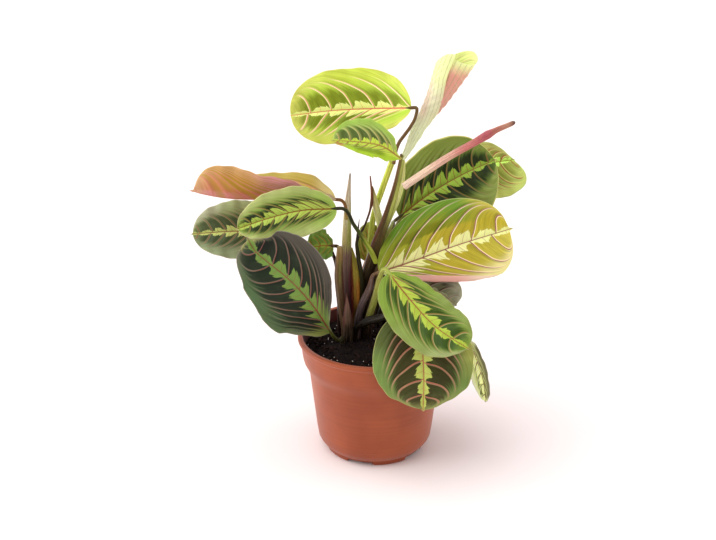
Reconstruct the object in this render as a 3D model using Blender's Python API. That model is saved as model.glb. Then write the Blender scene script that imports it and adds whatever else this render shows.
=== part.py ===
"""A prayer plant (maranta) in a round plastic nursery pot, built at real size in metres, +Z up.

The pot stands on z = 0 with its axis on the Z axis. +X is the plant's right, -Y its front.
All dimensions below are in millimetres and are turned to metres by M.
"""
from collections import namedtuple

import bmesh
import bpy
import numpy as np

M = 0.001

# Pot
RIM_R = 60.0
RIM_TOP = 95.0
COLLAR_R = 57.5
COLLAR_LOW_R = 56.6
COLLAR_LOW_Z = 79.0
SHOULDER_R = 51.4
SHOULDER_Z = 67.5
BODY_LOW_R = 44.6
BODY_LOW_Z = 11.0
BASE_R = 38.5
BASE_Z = 4.2
WALL = 1.6
FLOOR_TOP = 6.0
FLOOR_DISH_R = 26.0
FLOOR_DISH_Z = 2.4
NOTCH_H = 3.6
NOTCH_IN_R = 30.0
FEET = 5
POT_SEGMENTS = 40
FEET_TURN = -2

# Soil
SOIL_Z = 86.0
CLEAR = 0.3
SOCKET_CLEAR = 0.35

# Blades
BLADE_T = 0.8
BASE_SHARE = 0.07
TIP_SHARE = 0.06
FLAT_STEPS = 2
ROUND_STEPS = 4
BLADE_ROWS = 12

# Stalks
TUBE_SIDES = 8

# Half of a blade: its greatest width and where it comes (share of the length), the angle it rises at
# and the angle it curls through at base and tip (degrees), and how blunt its point and shoulder are.
Half = namedtuple(
    "Half",
    "width peak rise rise_tip curl curl_tip point shoulder",
    defaults=(5, 5, -5, -5, 0.6, 0.6))
# A blade: points along its midrib, which way it faces at base and tip, and its two halves.
Leaf = namedtuple("Leaf", "midrib face face_tip right left rolled colour")
# A stalk: points along it and its radius at each.
Stalk = namedtuple("Stalk", "path radii colour")

LIME = (0.42, 0.60, 0.06)
GOLD = (0.55, 0.52, 0.07)
MID_GREEN = (0.12, 0.26, 0.05)
DARK_GREEN = (0.03, 0.08, 0.03)
ORANGE = (0.66, 0.26, 0.12)
PINK = (0.60, 0.22, 0.20)
CREAM = (0.72, 0.68, 0.34)
PURPLE = (0.12, 0.05, 0.05)
PALE_STEM = (0.38, 0.45, 0.12)
DRY = (0.10, 0.05, 0.03)
TERRACOTTA = (0.50, 0.12, 0.05)
EARTH = (0.012, 0.008, 0.006)

LEAVES = {
    "leaf_top": Leaf(
        [(25, -8, 279), (-2, 4, 275), (-33, 2, 274), (-62, -4, 272)],
        (0, -0.85, 0.5), (0, -0.85, 0.5),
        Half(31, 0.5, 5, 5, -15, -10, 0.5), Half(27, 0.7, 5, 5, 0, -10, 0.5), False, LIME),
    "leaf_top_small": Leaf(
        [(18.5, -7.3, 240), (4, -20, 256), (-15, -34, 264), (-32, -44, 268)],
        (0, -1, 0), (0, -0.9, 0.4),
        Half(21, 0.6, 0, 0, -20, -20, 0.55), Half(13, 0.3, 0, 0, 0, -20, 1.1), False, MID_GREEN),
    "leaf_funnel": Leaf(
        [(21, 2, 242), (35.5, 8, 267), (51, 10, 292), (70, 8, 315)],
        (-0.1, -0.9, 0.4), (-0.1, -0.9, 0.4),
        Half(27, 0.75, 0, 0, 180, 130, 0.4), Half(25, 0.75, 0, 0, 160, 110, 0.4), True, CREAM),
    "leaf_right_dark": Leaf(
        [(19, 34, 179), (41, 34, 198), (66, 34, 214), (93, 38, 215)],
        (-0.1, -0.8, 0.6), (-0.1, -0.8, 0.6),
        Half(33, 0.6, 5, 5, 0, 0), Half(33, 0.5, 5, 5, 0, 0), False, DARK_GREEN),
    "leaf_right_back": Leaf(
        [(51, 62, 198), (71, 60, 207), (91, 58, 215), (114, 58, 220)],
        (0.1, -0.8, 0.55), (0.1, -0.8, 0.55),
        Half(31, 0.78, 0, 0, 0, 0, 0.45), Half(22, 0.6, 0, 0, 0, 0), False, MID_GREEN),
    "leaf_right_gold": Leaf(
        [(3, 2, 146), (26, -4, 157), (62, -6, 172), (101, 4, 180)],
        (0, -0.85, 0.5), (0, -0.85, 0.5),
        Half(32, 0.68, 25, 5, 130, 0, 0.5), Half(33, 0.5, 5, 5, -10, -10), False, GOLD),
    "leaf_front_mid": Leaf(
        [(10, -30, 159), (23, -52, 150), (42, -72, 136), (66, -88, 125)],
        (0.1, -0.75, 0.65), (0.1, -0.75, 0.65),
        Half(25, 0.55), Half(20, 0.6, 5, 5, -10, -10, 0.5), False, MID_GREEN),
    "leaf_front_low": Leaf(
        [(35, -42, 136), (34, -62, 116), (35, -70, 91), (35, -66, 63)],
        (0, -0.85, 0.5), (0, -0.85, 0.5),
        Half(37, 0.5, 3, 3, -10, -10, 0.75), Half(37, 0.5, 3, 3, -10, -10, 0.75), False, DARK_GREEN),
    "leaf_right_low": Leaf(
        [(72, -34, 105), (78, -42, 95), (83, -48, 80), (85, -50, 62)],
        (-0.8, -0.6, 0.2), (-0.8, -0.6, 0.2),
        Half(8, 0.5, 25, 25, 0, 0), Half(14, 0.5, 25, 25, 0, 0), False, LIME),
    "leaf_right_shade": Leaf(
        [(24, 30, 126), (39, 22, 128), (53, 12, 127), (63, 2, 124)],
        (0.1, -0.8, 0.55), (0.1, -0.8, 0.55),
        Half(20, 0.5, 0, 0, 0, 0), Half(16, 0.6, 0, 0, 0, 0, 0.5), False, DARK_GREEN),
    "leaf_left_rolled": Leaf(
        [(-30, 0, 206), (-56, -6, 211), (-84, -10, 211), (-111, -10, 212), (-137, -8, 216)],
        (0, -0.5, 0.85), (0, -0.5, 0.85),
        Half(20, 0.35, 15, 15, 0, 0), Half(27, 0.72, 45, 118, 20, 15, 0.45), True, ORANGE),
    "leaf_left_mid": Leaf(
        [(-29, -22, 207), (-55, -34, 210), (-78, -42, 207), (-101, -46, 200)],
        (0, -0.8, 0.6), (0, -0.8, 0.6),
        Half(19, 0.5), Half(20, 0.5), False, MID_GREEN),
    "leaf_left_back": Leaf(
        [(-65, 10, 184), (-91, 2, 181), (-115, -2, 181), (-139, -2, 179)],
        (0, -0.8, 0.6), (0, -0.8, 0.6),
        Half(24, 0.5, 4, 4, -5, -5, 0.5), Half(22, 0.5), False, DARK_GREEN),
    "leaf_left_low": Leaf(
        [(-34, -22, 107), (-49, -44, 143), (-65, -57, 168), (-78, -62, 182), (-86, -66, 192),
         (-91, -70, 204)],
        (-0.1, -0.85, 0.5), (-0.1, -0.85, 0.5),
        Half(26, 0.85, 25, 0, 0, 10, 0.6, 1.2), Half(33, 0.42, 5, 5, 0, 0, 0.75, 0.7), False, DARK_GREEN),
    "leaf_left_small": Leaf(
        [(-32, 4, 167), (-37, 0, 169), (-45, -2, 169), (-52, -4, 169)],
        (0, -0.8, 0.6), (0, -0.8, 0.6),
        Half(13, 0.5), Half(11, 0.5), False, MID_GREEN),
    "leaf_centre_back": Leaf(
        [(-9, 40, 139), (-10, 38, 150), (-7, 34, 161), (-1, 30, 173)],
        (0, -0.8, 0.6), (0, -0.8, 0.6),
        Half(12, 0.5), Half(10, 0.5), False, LIME),
}

# Stalks that stand in the soil: the first point is the socket's foot, the next two lie straight above it.
ROOTED = {
    "sheath_spear": Stalk(
        [(-20, 16, 81), (-20, 16, 85.5), (-20, 16, 90), (-22, 10, 128), (-22, 10, 169), (-21, 10, 198),
         (-19, 10, 223)],
        (3.3, 3.3, 3.3, 3.6, 3.5, 2.4, 0.5), CREAM),
    "sheath_cut": Stalk(
        [(-23, 8, 81), (-23, 8, 85.5), (-23, 8, 90), (-26, 2, 120), (-28, 2, 143), (-27, 2, 167)],
        (3.0, 3.0, 3.0, 3.4, 3.4, 2.2), PURPLE),
    "stem_main": Stalk(
        [(-12, 30, 81), (-12, 30, 85.5), (-12, 30, 90), (-4, 16, 139), (1, 10, 165), (10, 4, 195),
         (16, 0, 220), (19.8, -1.2, 241.4)],
        (4.6, 4.6, 4.6, 4.4, 4.2, 3.8, 3.4, 4.0), PURPLE),
    "stem_pale": Stalk(
        [(-8, 41, 81), (-8, 41, 85.5), (-8, 41, 90), (-5, 30, 136), (-1, 23, 185), (6, 14, 212),
         (12, 7, 233)],
        (2.3, 2.3, 2.3, 2.3, 2.3, 2.3, 2.3), PALE_STEM),
    "petiole_right_gold": Stalk(
        [(-5, 19, 81), (-5, 19, 85.5), (-5, 19, 90), (-4, 9, 118), (-3.5, 5, 136)],
        (2.2, 2.2, 2.2, 2.1, 1.8), PALE_STEM),
    "petiole_front_mid": Stalk(
        [(1, 11, 81), (1, 11, 85.5), (1, 11, 90), (2, -5, 118), (3, -14, 146)],
        (2.0, 2.0, 2.0, 1.8, 1.5), PALE_STEM),
    "petiole_front_low": Stalk(
        [(-11, 10, 81), (-11, 10, 85.5), (-11, 10, 90), (-9, -3, 106), (2, -14, 119), (16, -25, 131)],
        (1.6, 1.6, 1.6, 1.6, 1.5, 1.4), DARK_GREEN),
    "petiole_right_low": Stalk(
        [(7, 21, 81), (7, 21, 85.5), (7, 21, 90), (16, 4, 116), (36, -10, 126), (56, -22, 121)],
        (1.6, 1.6, 1.6, 1.5, 1.4, 1.3), DARK_GREEN),
    "petiole_right_shade": Stalk(
        [(3, 32, 81), (3, 32, 85.5), (3, 32, 90), (7, 32, 108), (13, 35, 121)],
        (1.6, 1.6, 1.6, 1.5, 1.4), DARK_GREEN),
    "petiole_right_back": Stalk(
        [(2, 43, 81), (2, 43, 85.5), (2, 43, 90), (8, 46, 130), (20, 56, 168), (36, 62, 188)],
        (1.8, 1.8, 1.8, 1.7, 1.6, 1.4), PALE_STEM),
    "petiole_centre_back": Stalk(
        [(-16, 43, 81), (-16, 43, 85.5), (-16, 43, 90), (-12, 41, 116)],
        (1.8, 1.8, 1.8, 1.6), ORANGE),
    "petiole_left_back": Stalk(
        [(-28, 26, 81), (-28, 26, 85.5), (-28, 26, 90), (-29, 19, 130), (-31, 18, 150), (-38, 17, 165),
         (-50, 14, 180)],
        (1.6, 1.6, 1.6, 1.5, 1.4, 1.3, 1.3), DARK_GREEN),
    "petiole_left_low": Stalk(
        [(-25, 0, 81), (-25, 0, 85.5), (-25, 0, 90), (-28, -12, 95)],
        (1.6, 1.6, 1.6, 1.5), DARK_GREEN),
    "petiole_left_small": Stalk(
        [(-28, 19, 81), (-28, 19, 85.5), (-28, 19, 90), (-28, 12, 127), (-28, 11, 145), (-27, 9, 158)],
        (1.4, 1.4, 1.4, 1.3, 1.2, 1.2), PURPLE),
    "flower_stalk": Stalk(
        [(-13, 18, 81), (-13, 18, 85.5), (-13, 18, 90), (-11, 8, 125), (-11, 8, 162), (-5, 10, 193),
         (-3, 10, 199), (-4, 10, 221)],
        (1.0, 1.0, 1.0, 0.9, 0.9, 0.8, 1.2, 0.5), DRY),
}

# Stalks that leave the side of another stalk.
BRANCHED = {
    "petiole_right_dark": Stalk([(4.9, 13.4, 158), (7, 18, 165)], (1.3, 1.2), DARK_GREEN),
    "petiole_left_mid": Stalk(
        [(0.5, 5.6, 153), (-3, 1, 163), (-9, -5, 176), (-16, -12, 190)],
        (1.4, 1.4, 1.3, 1.3), DARK_GREEN),
    "petiole_left_rolled": Stalk([(-22, 5.6, 188), (-22, 4.6, 196)], (1.2, 1.2), ORANGE),
    "petiole_top": Stalk(
        [(13.1, -0.2, 234), (14.3, -1, 243), (17, -4, 252), (20.5, -9, 259), (25, -12.5, 267),
         (28, -12, 273)],
        (1.3, 1.3, 1.3, 1.3, 1.2, 1.2), PURPLE),
    "flower_side": Stalk([(-12.6, 8, 160), (-13.4, 8, 165), (-14, 8, 171)], (0.7, 0.7, 0.5), DRY),
    "bract": Stalk(
        [(4, 17, 168), (3, 15, 186), (-2, 13, 207), (-3, 12, 217)],
        (2.2, 2.6, 1.6, 0.4), PALE_STEM),
    "leaf_spear": Stalk(
        [(19.2, -4.7, 214), (39, -12, 235), (57, -16, 248), (74, -20, 261), (98, -26, 274)],
        (3.2, 3.4, 3.4, 3.0, 1.2), PINK),
}

# The blade each petiole carries; its last stretch runs along that blade's midrib.
CARRIES = {
    "petiole_right_gold": "leaf_right_gold",
    "petiole_front_mid": "leaf_front_mid",
    "petiole_front_low": "leaf_front_low",
    "petiole_right_low": "leaf_right_low",
    "petiole_right_shade": "leaf_right_shade",
    "petiole_right_back": "leaf_right_back",
    "petiole_centre_back": "leaf_centre_back",
    "petiole_left_back": "leaf_left_back",
    "petiole_left_low": "leaf_left_low",
    "petiole_left_small": "leaf_left_small",
    "petiole_right_dark": "leaf_right_dark",
    "petiole_left_mid": "leaf_left_mid",
    "petiole_left_rolled": "leaf_left_rolled",
    "petiole_top": "leaf_top",
}
# The knee: the thickened joint between a petiole and its blade.
KNEE = 4.0
KNEE_GAP = 0.5
KNEE_R = 1.3


def clear_scene():
    for obj in list(bpy.data.objects):
        bpy.data.objects.remove(obj, do_unlink=True)


def plain_material(name, colour, roughness):
    material = bpy.data.materials.new(name)
    material.use_nodes = True
    shader = material.node_tree.nodes["Principled BSDF"]
    shader.inputs["Base Color"].default_value = (*colour, 1.0)
    shader.inputs["Roughness"].default_value = roughness
    shader.inputs["Metallic"].default_value = 0.0
    return material


def add_object(name, verts, faces, colour, roughness):
    """A closed mesh from points in millimetres, with its faces turned outwards."""
    mesh = bpy.data.meshes.new(name)
    mesh.from_pydata([tuple(float(c) * M for c in v) for v in verts], [], faces)
    bm = bmesh.new()
    bm.from_mesh(mesh)
    bmesh.ops.recalc_face_normals(bm, faces=bm.faces)
    bm.to_mesh(mesh)
    bm.free()
    obj = bpy.data.objects.new(name, mesh)
    bpy.context.scene.collection.objects.link(obj)
    obj.data.materials.append(plain_material(name, colour, roughness))
    return obj


def unit(v):
    v = np.asarray(v, float)
    return v / np.linalg.norm(v)


def smooth_path(points, stations):
    """Points on a smooth curve through the given ones, at the given shares of its length."""
    p = np.array(points, float)
    chords = np.linalg.norm(np.diff(p, axis=0), axis=1)[:, None]
    slopes = np.diff(p, axis=0) / chords
    inner = (slopes[:-1] * chords[1:] + slopes[1:] * chords[:-1]) / (chords[:-1] + chords[1:])
    tangents = np.concatenate([slopes[:1], inner, slopes[-1:]])
    t = np.linspace(0, 1, 24, endpoint=False)[:, None]
    dense = []
    for i, chord in enumerate(chords):
        bend = chord * (t ** 3 - 2 * t ** 2 + t) * tangents[i] + chord * (t ** 3 - t ** 2) * tangents[i + 1]
        dense.append(p[i] + (3 * t ** 2 - 2 * t ** 3) * (p[i + 1] - p[i]) + bend)
    dense = np.concatenate(dense + [p[-1:]])
    run = np.concatenate([[0], np.cumsum(np.linalg.norm(np.diff(dense, axis=0), axis=1))])
    want = np.asarray(stations) * run[-1]
    return np.stack([np.interp(want, run, dense[:, k]) for k in range(3)], axis=-1)


def half_width(u, half):
    """Width of one half of a blade at share u of its length: rounded base, blunt point."""
    if u < half.peak:
        share = max(0.0, 1 - (1 - u / half.peak) ** 2.2) ** half.shoulder
        low = BASE_SHARE
    else:
        share = max(0.0, 1 - ((u - half.peak) / (1 - half.peak)) ** 2.2) ** half.point
        low = TIP_SHARE
    return half.width * (low + (1 - low) * share)


def half_row(origin, across, normal, u, half, rolled, steps):
    """Points from the midrib to the margin across one half of a blade."""
    width = half_width(u, half)
    rise = np.radians(half.rise + (half.rise_tip - half.rise) * u)
    curl = np.radians(half.curl + (half.curl_tip - half.curl) * u)
    fine = 4
    point = origin.copy()
    out = []
    for k in range(steps * fine):
        t = (k + 0.5) / (steps * fine)
        turn = t if rolled else (t * max(width / half.width, 0.2)) ** 1.5
        angle = rise + curl * turn
        point = point + width / (steps * fine) * (np.cos(angle) * across + np.sin(angle) * normal)
        if k % fine == fine - 1:
            out.append(point.copy())
    return out


def blade_grid(leaf, rows, steps):
    """Rows of points from the left margin over the midrib to the right margin."""
    shares = (1 - np.cos(np.pi * np.arange(rows + 1) / rows)) / 2
    midrib = smooth_path(leaf.midrib, shares)
    along = np.gradient(midrib, axis=0)
    grid = []
    for u, origin, tangent in zip(shares, midrib, along):
        tangent = unit(tangent)
        facing = unit(unit(leaf.face) * (1 - u) + unit(leaf.face_tip) * u)
        across = unit(np.cross(tangent, facing))
        normal = np.cross(across, tangent)
        right = half_row(origin, across, normal, u, leaf.right, leaf.rolled, steps)
        left = half_row(origin, -across, normal, u, leaf.left, leaf.rolled, steps)
        grid.append(left[::-1] + [origin] + right)
    return np.array(grid)


def grid_normals(grid):
    along = np.gradient(grid, axis=0)
    across = np.gradient(grid, axis=1)
    normals = np.cross(across, along)
    return normals / np.linalg.norm(normals, axis=2, keepdims=True)


def sheet_faces(rows, cols):
    """Faces of a closed sheet: an upper grid, a lower grid and the margin between them."""
    lower = rows * cols
    faces = []
    for i in range(rows - 1):
        for j in range(cols - 1):
            a = i * cols + j
            faces.append((a, a + 1, a + cols + 1, a + cols))
            faces.append((lower + a, lower + a + cols, lower + a + cols + 1, lower + a + 1))
    edge = list(range(cols))
    edge += [i * cols + cols - 1 for i in range(1, rows)]
    edge += [(rows - 1) * cols + j for j in range(cols - 2, -1, -1)]
    edge += [i * cols for i in range(rows - 2, 0, -1)]
    for a, b in zip(edge, edge[1:] + edge[:1]):
        faces.append((a, b, lower + b, lower + a))
    return faces


def build_blade(name, leaf):
    steps = ROUND_STEPS if leaf.rolled or abs(leaf.right.curl) > 60 else FLAT_STEPS
    grid = blade_grid(leaf, BLADE_ROWS, steps)
    offset = grid_normals(grid) * BLADE_T / 2
    upper = (grid + offset).reshape(-1, 3)
    lower = (grid - offset).reshape(-1, 3)
    faces = sheet_faces(grid.shape[0], grid.shape[1])
    add_object(name, np.concatenate([upper, lower]), faces, leaf.colour, 0.45)


def knee_points(leaf):
    """The end of a petiole: a short straight stretch in line with the blade's midrib."""
    start, second = smooth_path(leaf.midrib, (0.0, 0.04))
    direction = unit(second - start)
    return [start - direction * (KNEE + KNEE_GAP), start - direction * KNEE_GAP]


def tube_mesh(path, radii):
    """A closed round tube with flat ends along a path, its radius given at each point."""
    path = np.asarray(path, float)
    tangents = np.gradient(path, axis=0)
    side = unit(np.cross(tangents[0], (0.3, 1.0, 0.2)))
    verts = []
    for point, tangent, radius in zip(path, tangents, radii):
        tangent = unit(tangent)
        side = unit(side - tangent * side.dot(tangent))
        other = np.cross(tangent, side)
        for angle in 2 * np.pi * np.arange(TUBE_SIDES) / TUBE_SIDES:
            verts.append(point + radius * (np.cos(angle) * side + np.sin(angle) * other))
    rings = len(path)
    faces = [tuple(range(TUBE_SIDES)), tuple(range((rings - 1) * TUBE_SIDES, rings * TUBE_SIDES))]
    for i in range(rings - 1):
        for j in range(TUBE_SIDES):
            k = (j + 1) % TUBE_SIDES
            low = i * TUBE_SIDES
            high = low + TUBE_SIDES
            faces.append((low + j, low + k, high + k, high + j))
    return verts, faces


def stalk_course(name, stalk):
    """Path points and radii of a stalk, with the knee at the blade it carries."""
    points = list(stalk.path)
    radii = list(stalk.radii)
    if name in CARRIES:
        points += knee_points(LEAVES[CARRIES[name]])
        radii += [KNEE_R, KNEE_R]
    count = 2 * len(points) - 1
    shares = np.linspace(0, 1, len(points))
    lengths = np.linalg.norm(np.diff(np.array(points, float), axis=0), axis=1)
    run = np.concatenate([[0], np.cumsum(lengths)]) / lengths.sum()
    stations = np.interp(np.linspace(0, 1, count), shares, run)
    return smooth_path(points, stations), np.interp(stations, run, radii)


def build_stalk(name, stalk):
    path, radii = stalk_course(name, stalk)
    verts, faces = tube_mesh(path, radii)
    add_object(name, verts, faces, stalk.colour, 0.5)


def lathe(profile, segments, lift=None):
    """A ring of profile points turned about Z, closed from its first point to its last."""
    verts = []
    count = len(profile)
    for s in range(segments):
        angle = 2 * np.pi * s / segments
        for index, (radius, height) in enumerate(profile):
            if lift:
                height = height + lift(index, s)
            verts.append((radius * np.cos(angle), radius * np.sin(angle), height))
    faces = []
    for s in range(segments):
        t = (s + 1) % segments
        for k in range(count - 1):
            faces.append((s * count + k, t * count + k, t * count + k + 1, s * count + k + 1))
    return verts, faces


def close_ends(verts, faces, profile, segments):
    """Caps on the axis below the first profile point and above the last."""
    count = len(profile)
    verts.append((0, 0, profile[0][1]))
    verts.append((0, 0, profile[-1][1]))
    bottom, top = len(verts) - 2, len(verts) - 1
    for s in range(segments):
        t = (s + 1) % segments
        faces.append((bottom, t * count, s * count))
        faces.append((top, s * count + count - 1, t * count + count - 1))


def pot_profile():
    """From the underside's centre out, up the outside, over the rim and down the inside."""
    return [
        (NOTCH_IN_R - 2, 0.0),
        (NOTCH_IN_R, 0.0),
        (BASE_R, 0.0),
        (BASE_R, BASE_Z),
        (BODY_LOW_R - 2.0, BODY_LOW_Z - 5.0),
        (BODY_LOW_R, BODY_LOW_Z),
        (SHOULDER_R, SHOULDER_Z),
        (COLLAR_LOW_R - 1.2, COLLAR_LOW_Z - 7.0),
        (COLLAR_LOW_R, COLLAR_LOW_Z),
        (COLLAR_R, RIM_TOP - 4.5),
        (RIM_R, RIM_TOP - 2.6),
        (RIM_R, RIM_TOP - 0.6),
        (RIM_R - 0.8, RIM_TOP),
        (COLLAR_R - WALL, RIM_TOP),
        (COLLAR_R - WALL, RIM_TOP - 4.5),
        (COLLAR_LOW_R - WALL, COLLAR_LOW_Z),
        (COLLAR_LOW_R - WALL - 2.0, COLLAR_LOW_Z - 7.0),
        (SHOULDER_R - WALL - 0.6, SHOULDER_Z - 1.5),
        (BODY_LOW_R - WALL, BODY_LOW_Z + 1.0),
        (BASE_R - 1.0, FLOOR_TOP),
        (FLOOR_DISH_R + 1.0, FLOOR_TOP),
        (FLOOR_DISH_R, FLOOR_DISH_Z),
    ]


def notch_lift(index, segment):
    """Raise the base ring's underside between the feet."""
    if index not in (1, 2):
        return 0.0
    period = POT_SEGMENTS // FEET
    return NOTCH_H if (segment - FEET_TURN) % period > period // 2 else 0.0


def build_pot():
    profile = pot_profile()
    verts, faces = lathe(profile, POT_SEGMENTS, notch_lift)
    close_ends(verts, faces, profile, POT_SEGMENTS)
    return add_object("pot", verts, faces, TERRACOTTA, 0.4)


def soil_profile():
    inside = CLEAR + 0.2
    return [
        (FLOOR_DISH_R - inside, FLOOR_DISH_Z + inside),
        (FLOOR_DISH_R + 0.6, FLOOR_TOP + inside),
        (BASE_R - 1.6, FLOOR_TOP + inside),
        (BODY_LOW_R - WALL - inside, BODY_LOW_Z + 1.2),
        (SHOULDER_R - WALL - 0.6 - inside, SHOULDER_Z - 1.2),
        (COLLAR_LOW_R - WALL - 2.0 - inside, COLLAR_LOW_Z - 6.8),
        (COLLAR_LOW_R - WALL - inside, COLLAR_LOW_Z + 0.2),
        (COLLAR_LOW_R - WALL - inside, SOIL_Z - 2.0),
        (COLLAR_R - WALL - 9.0, SOIL_Z - 0.4),
        (30.0, SOIL_Z),
    ]


def socket_cutter(name, stalk):
    """The hole in the soil that a rooted stalk stands in."""
    x, y, foot = stalk.path[0]
    radius = stalk.radii[0] + SOCKET_CLEAR
    path = [(x, y, foot - SOCKET_CLEAR), (x, y, SOIL_Z + 3.0)]
    verts, faces = tube_mesh(path, (radius, radius))
    cutter = add_object(name + "_socket", verts, faces, EARTH, 0.9)
    cutter.hide_render = True
    cutter.display_type = "WIRE"
    return cutter


def build_soil():
    profile = soil_profile()
    verts, faces = lathe(profile, POT_SEGMENTS)
    close_ends(verts, faces, profile, POT_SEGMENTS)
    soil = add_object("soil", verts, faces, EARTH, 0.95)
    for name, stalk in ROOTED.items():
        cutter = socket_cutter(name, stalk)
        cut = soil.modifiers.new(name, "BOOLEAN")
        cut.operation = "DIFFERENCE"
        cut.solver = "EXACT"
        cut.object = cutter
    return soil


def build_all():
    clear_scene()
    build_pot()
    build_soil()
    for name, leaf in LEAVES.items():
        build_blade(name, leaf)
    for name, stalk in {**ROOTED, **BRANCHED}.items():
        build_stalk(name, stalk)


build_all()
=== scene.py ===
"""Looks for a potted prayer plant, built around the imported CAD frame.

Lengths are in millimetres and become metres by M. Colours are sRGB hex codes.
The leaf and stalk tables follow those of the CAD source, because the frame holds only solids.
"""

import math
from collections import namedtuple
from functools import partialmethod
from types import SimpleNamespace

import bpy
import numpy as np
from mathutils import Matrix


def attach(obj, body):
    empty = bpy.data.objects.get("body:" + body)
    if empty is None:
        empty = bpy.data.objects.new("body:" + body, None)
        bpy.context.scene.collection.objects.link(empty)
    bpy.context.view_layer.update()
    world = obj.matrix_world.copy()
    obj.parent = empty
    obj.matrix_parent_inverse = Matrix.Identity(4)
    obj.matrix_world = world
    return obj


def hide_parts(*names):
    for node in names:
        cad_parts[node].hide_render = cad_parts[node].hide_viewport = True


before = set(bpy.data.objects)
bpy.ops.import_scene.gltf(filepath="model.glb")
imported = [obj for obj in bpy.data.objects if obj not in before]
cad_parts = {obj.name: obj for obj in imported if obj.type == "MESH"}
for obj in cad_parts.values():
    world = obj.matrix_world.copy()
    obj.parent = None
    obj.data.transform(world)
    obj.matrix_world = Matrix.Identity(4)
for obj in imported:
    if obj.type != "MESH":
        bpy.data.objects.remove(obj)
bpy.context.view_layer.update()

M = 0.001
BODY = "root"

CAMERA_AT = (-13.2, -973.8, 565.6)
CAMERA_PITCH = 23.17
CAMERA_LENS = 70.0
SENSOR_WIDTH = 36.0

# ---------------- the plant's shape

# One half of a blade: its width, where along the length it is widest (peak), the angles in degrees at
# which it leaves the midrib (rise) and bends towards the margin (curl), at the base and at the tip, and
# exponents of its outline towards the tip (point) and the base (shoulder); smaller ones are blunter.
Half = namedtuple(
    "Half",
    "width peak rise rise_tip curl curl_tip point shoulder",
    defaults=(5, 5, -5, -5, 0.6, 0.6))
# face: where the upper face looks; face_tip: the same at the tip, where it differs from the base.
# rolled: the bend is spread evenly over each half, where it otherwise grows towards the margin.
Leaf = namedtuple("Leaf", "midrib face right left rolled face_tip", defaults=(False, None))

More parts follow.
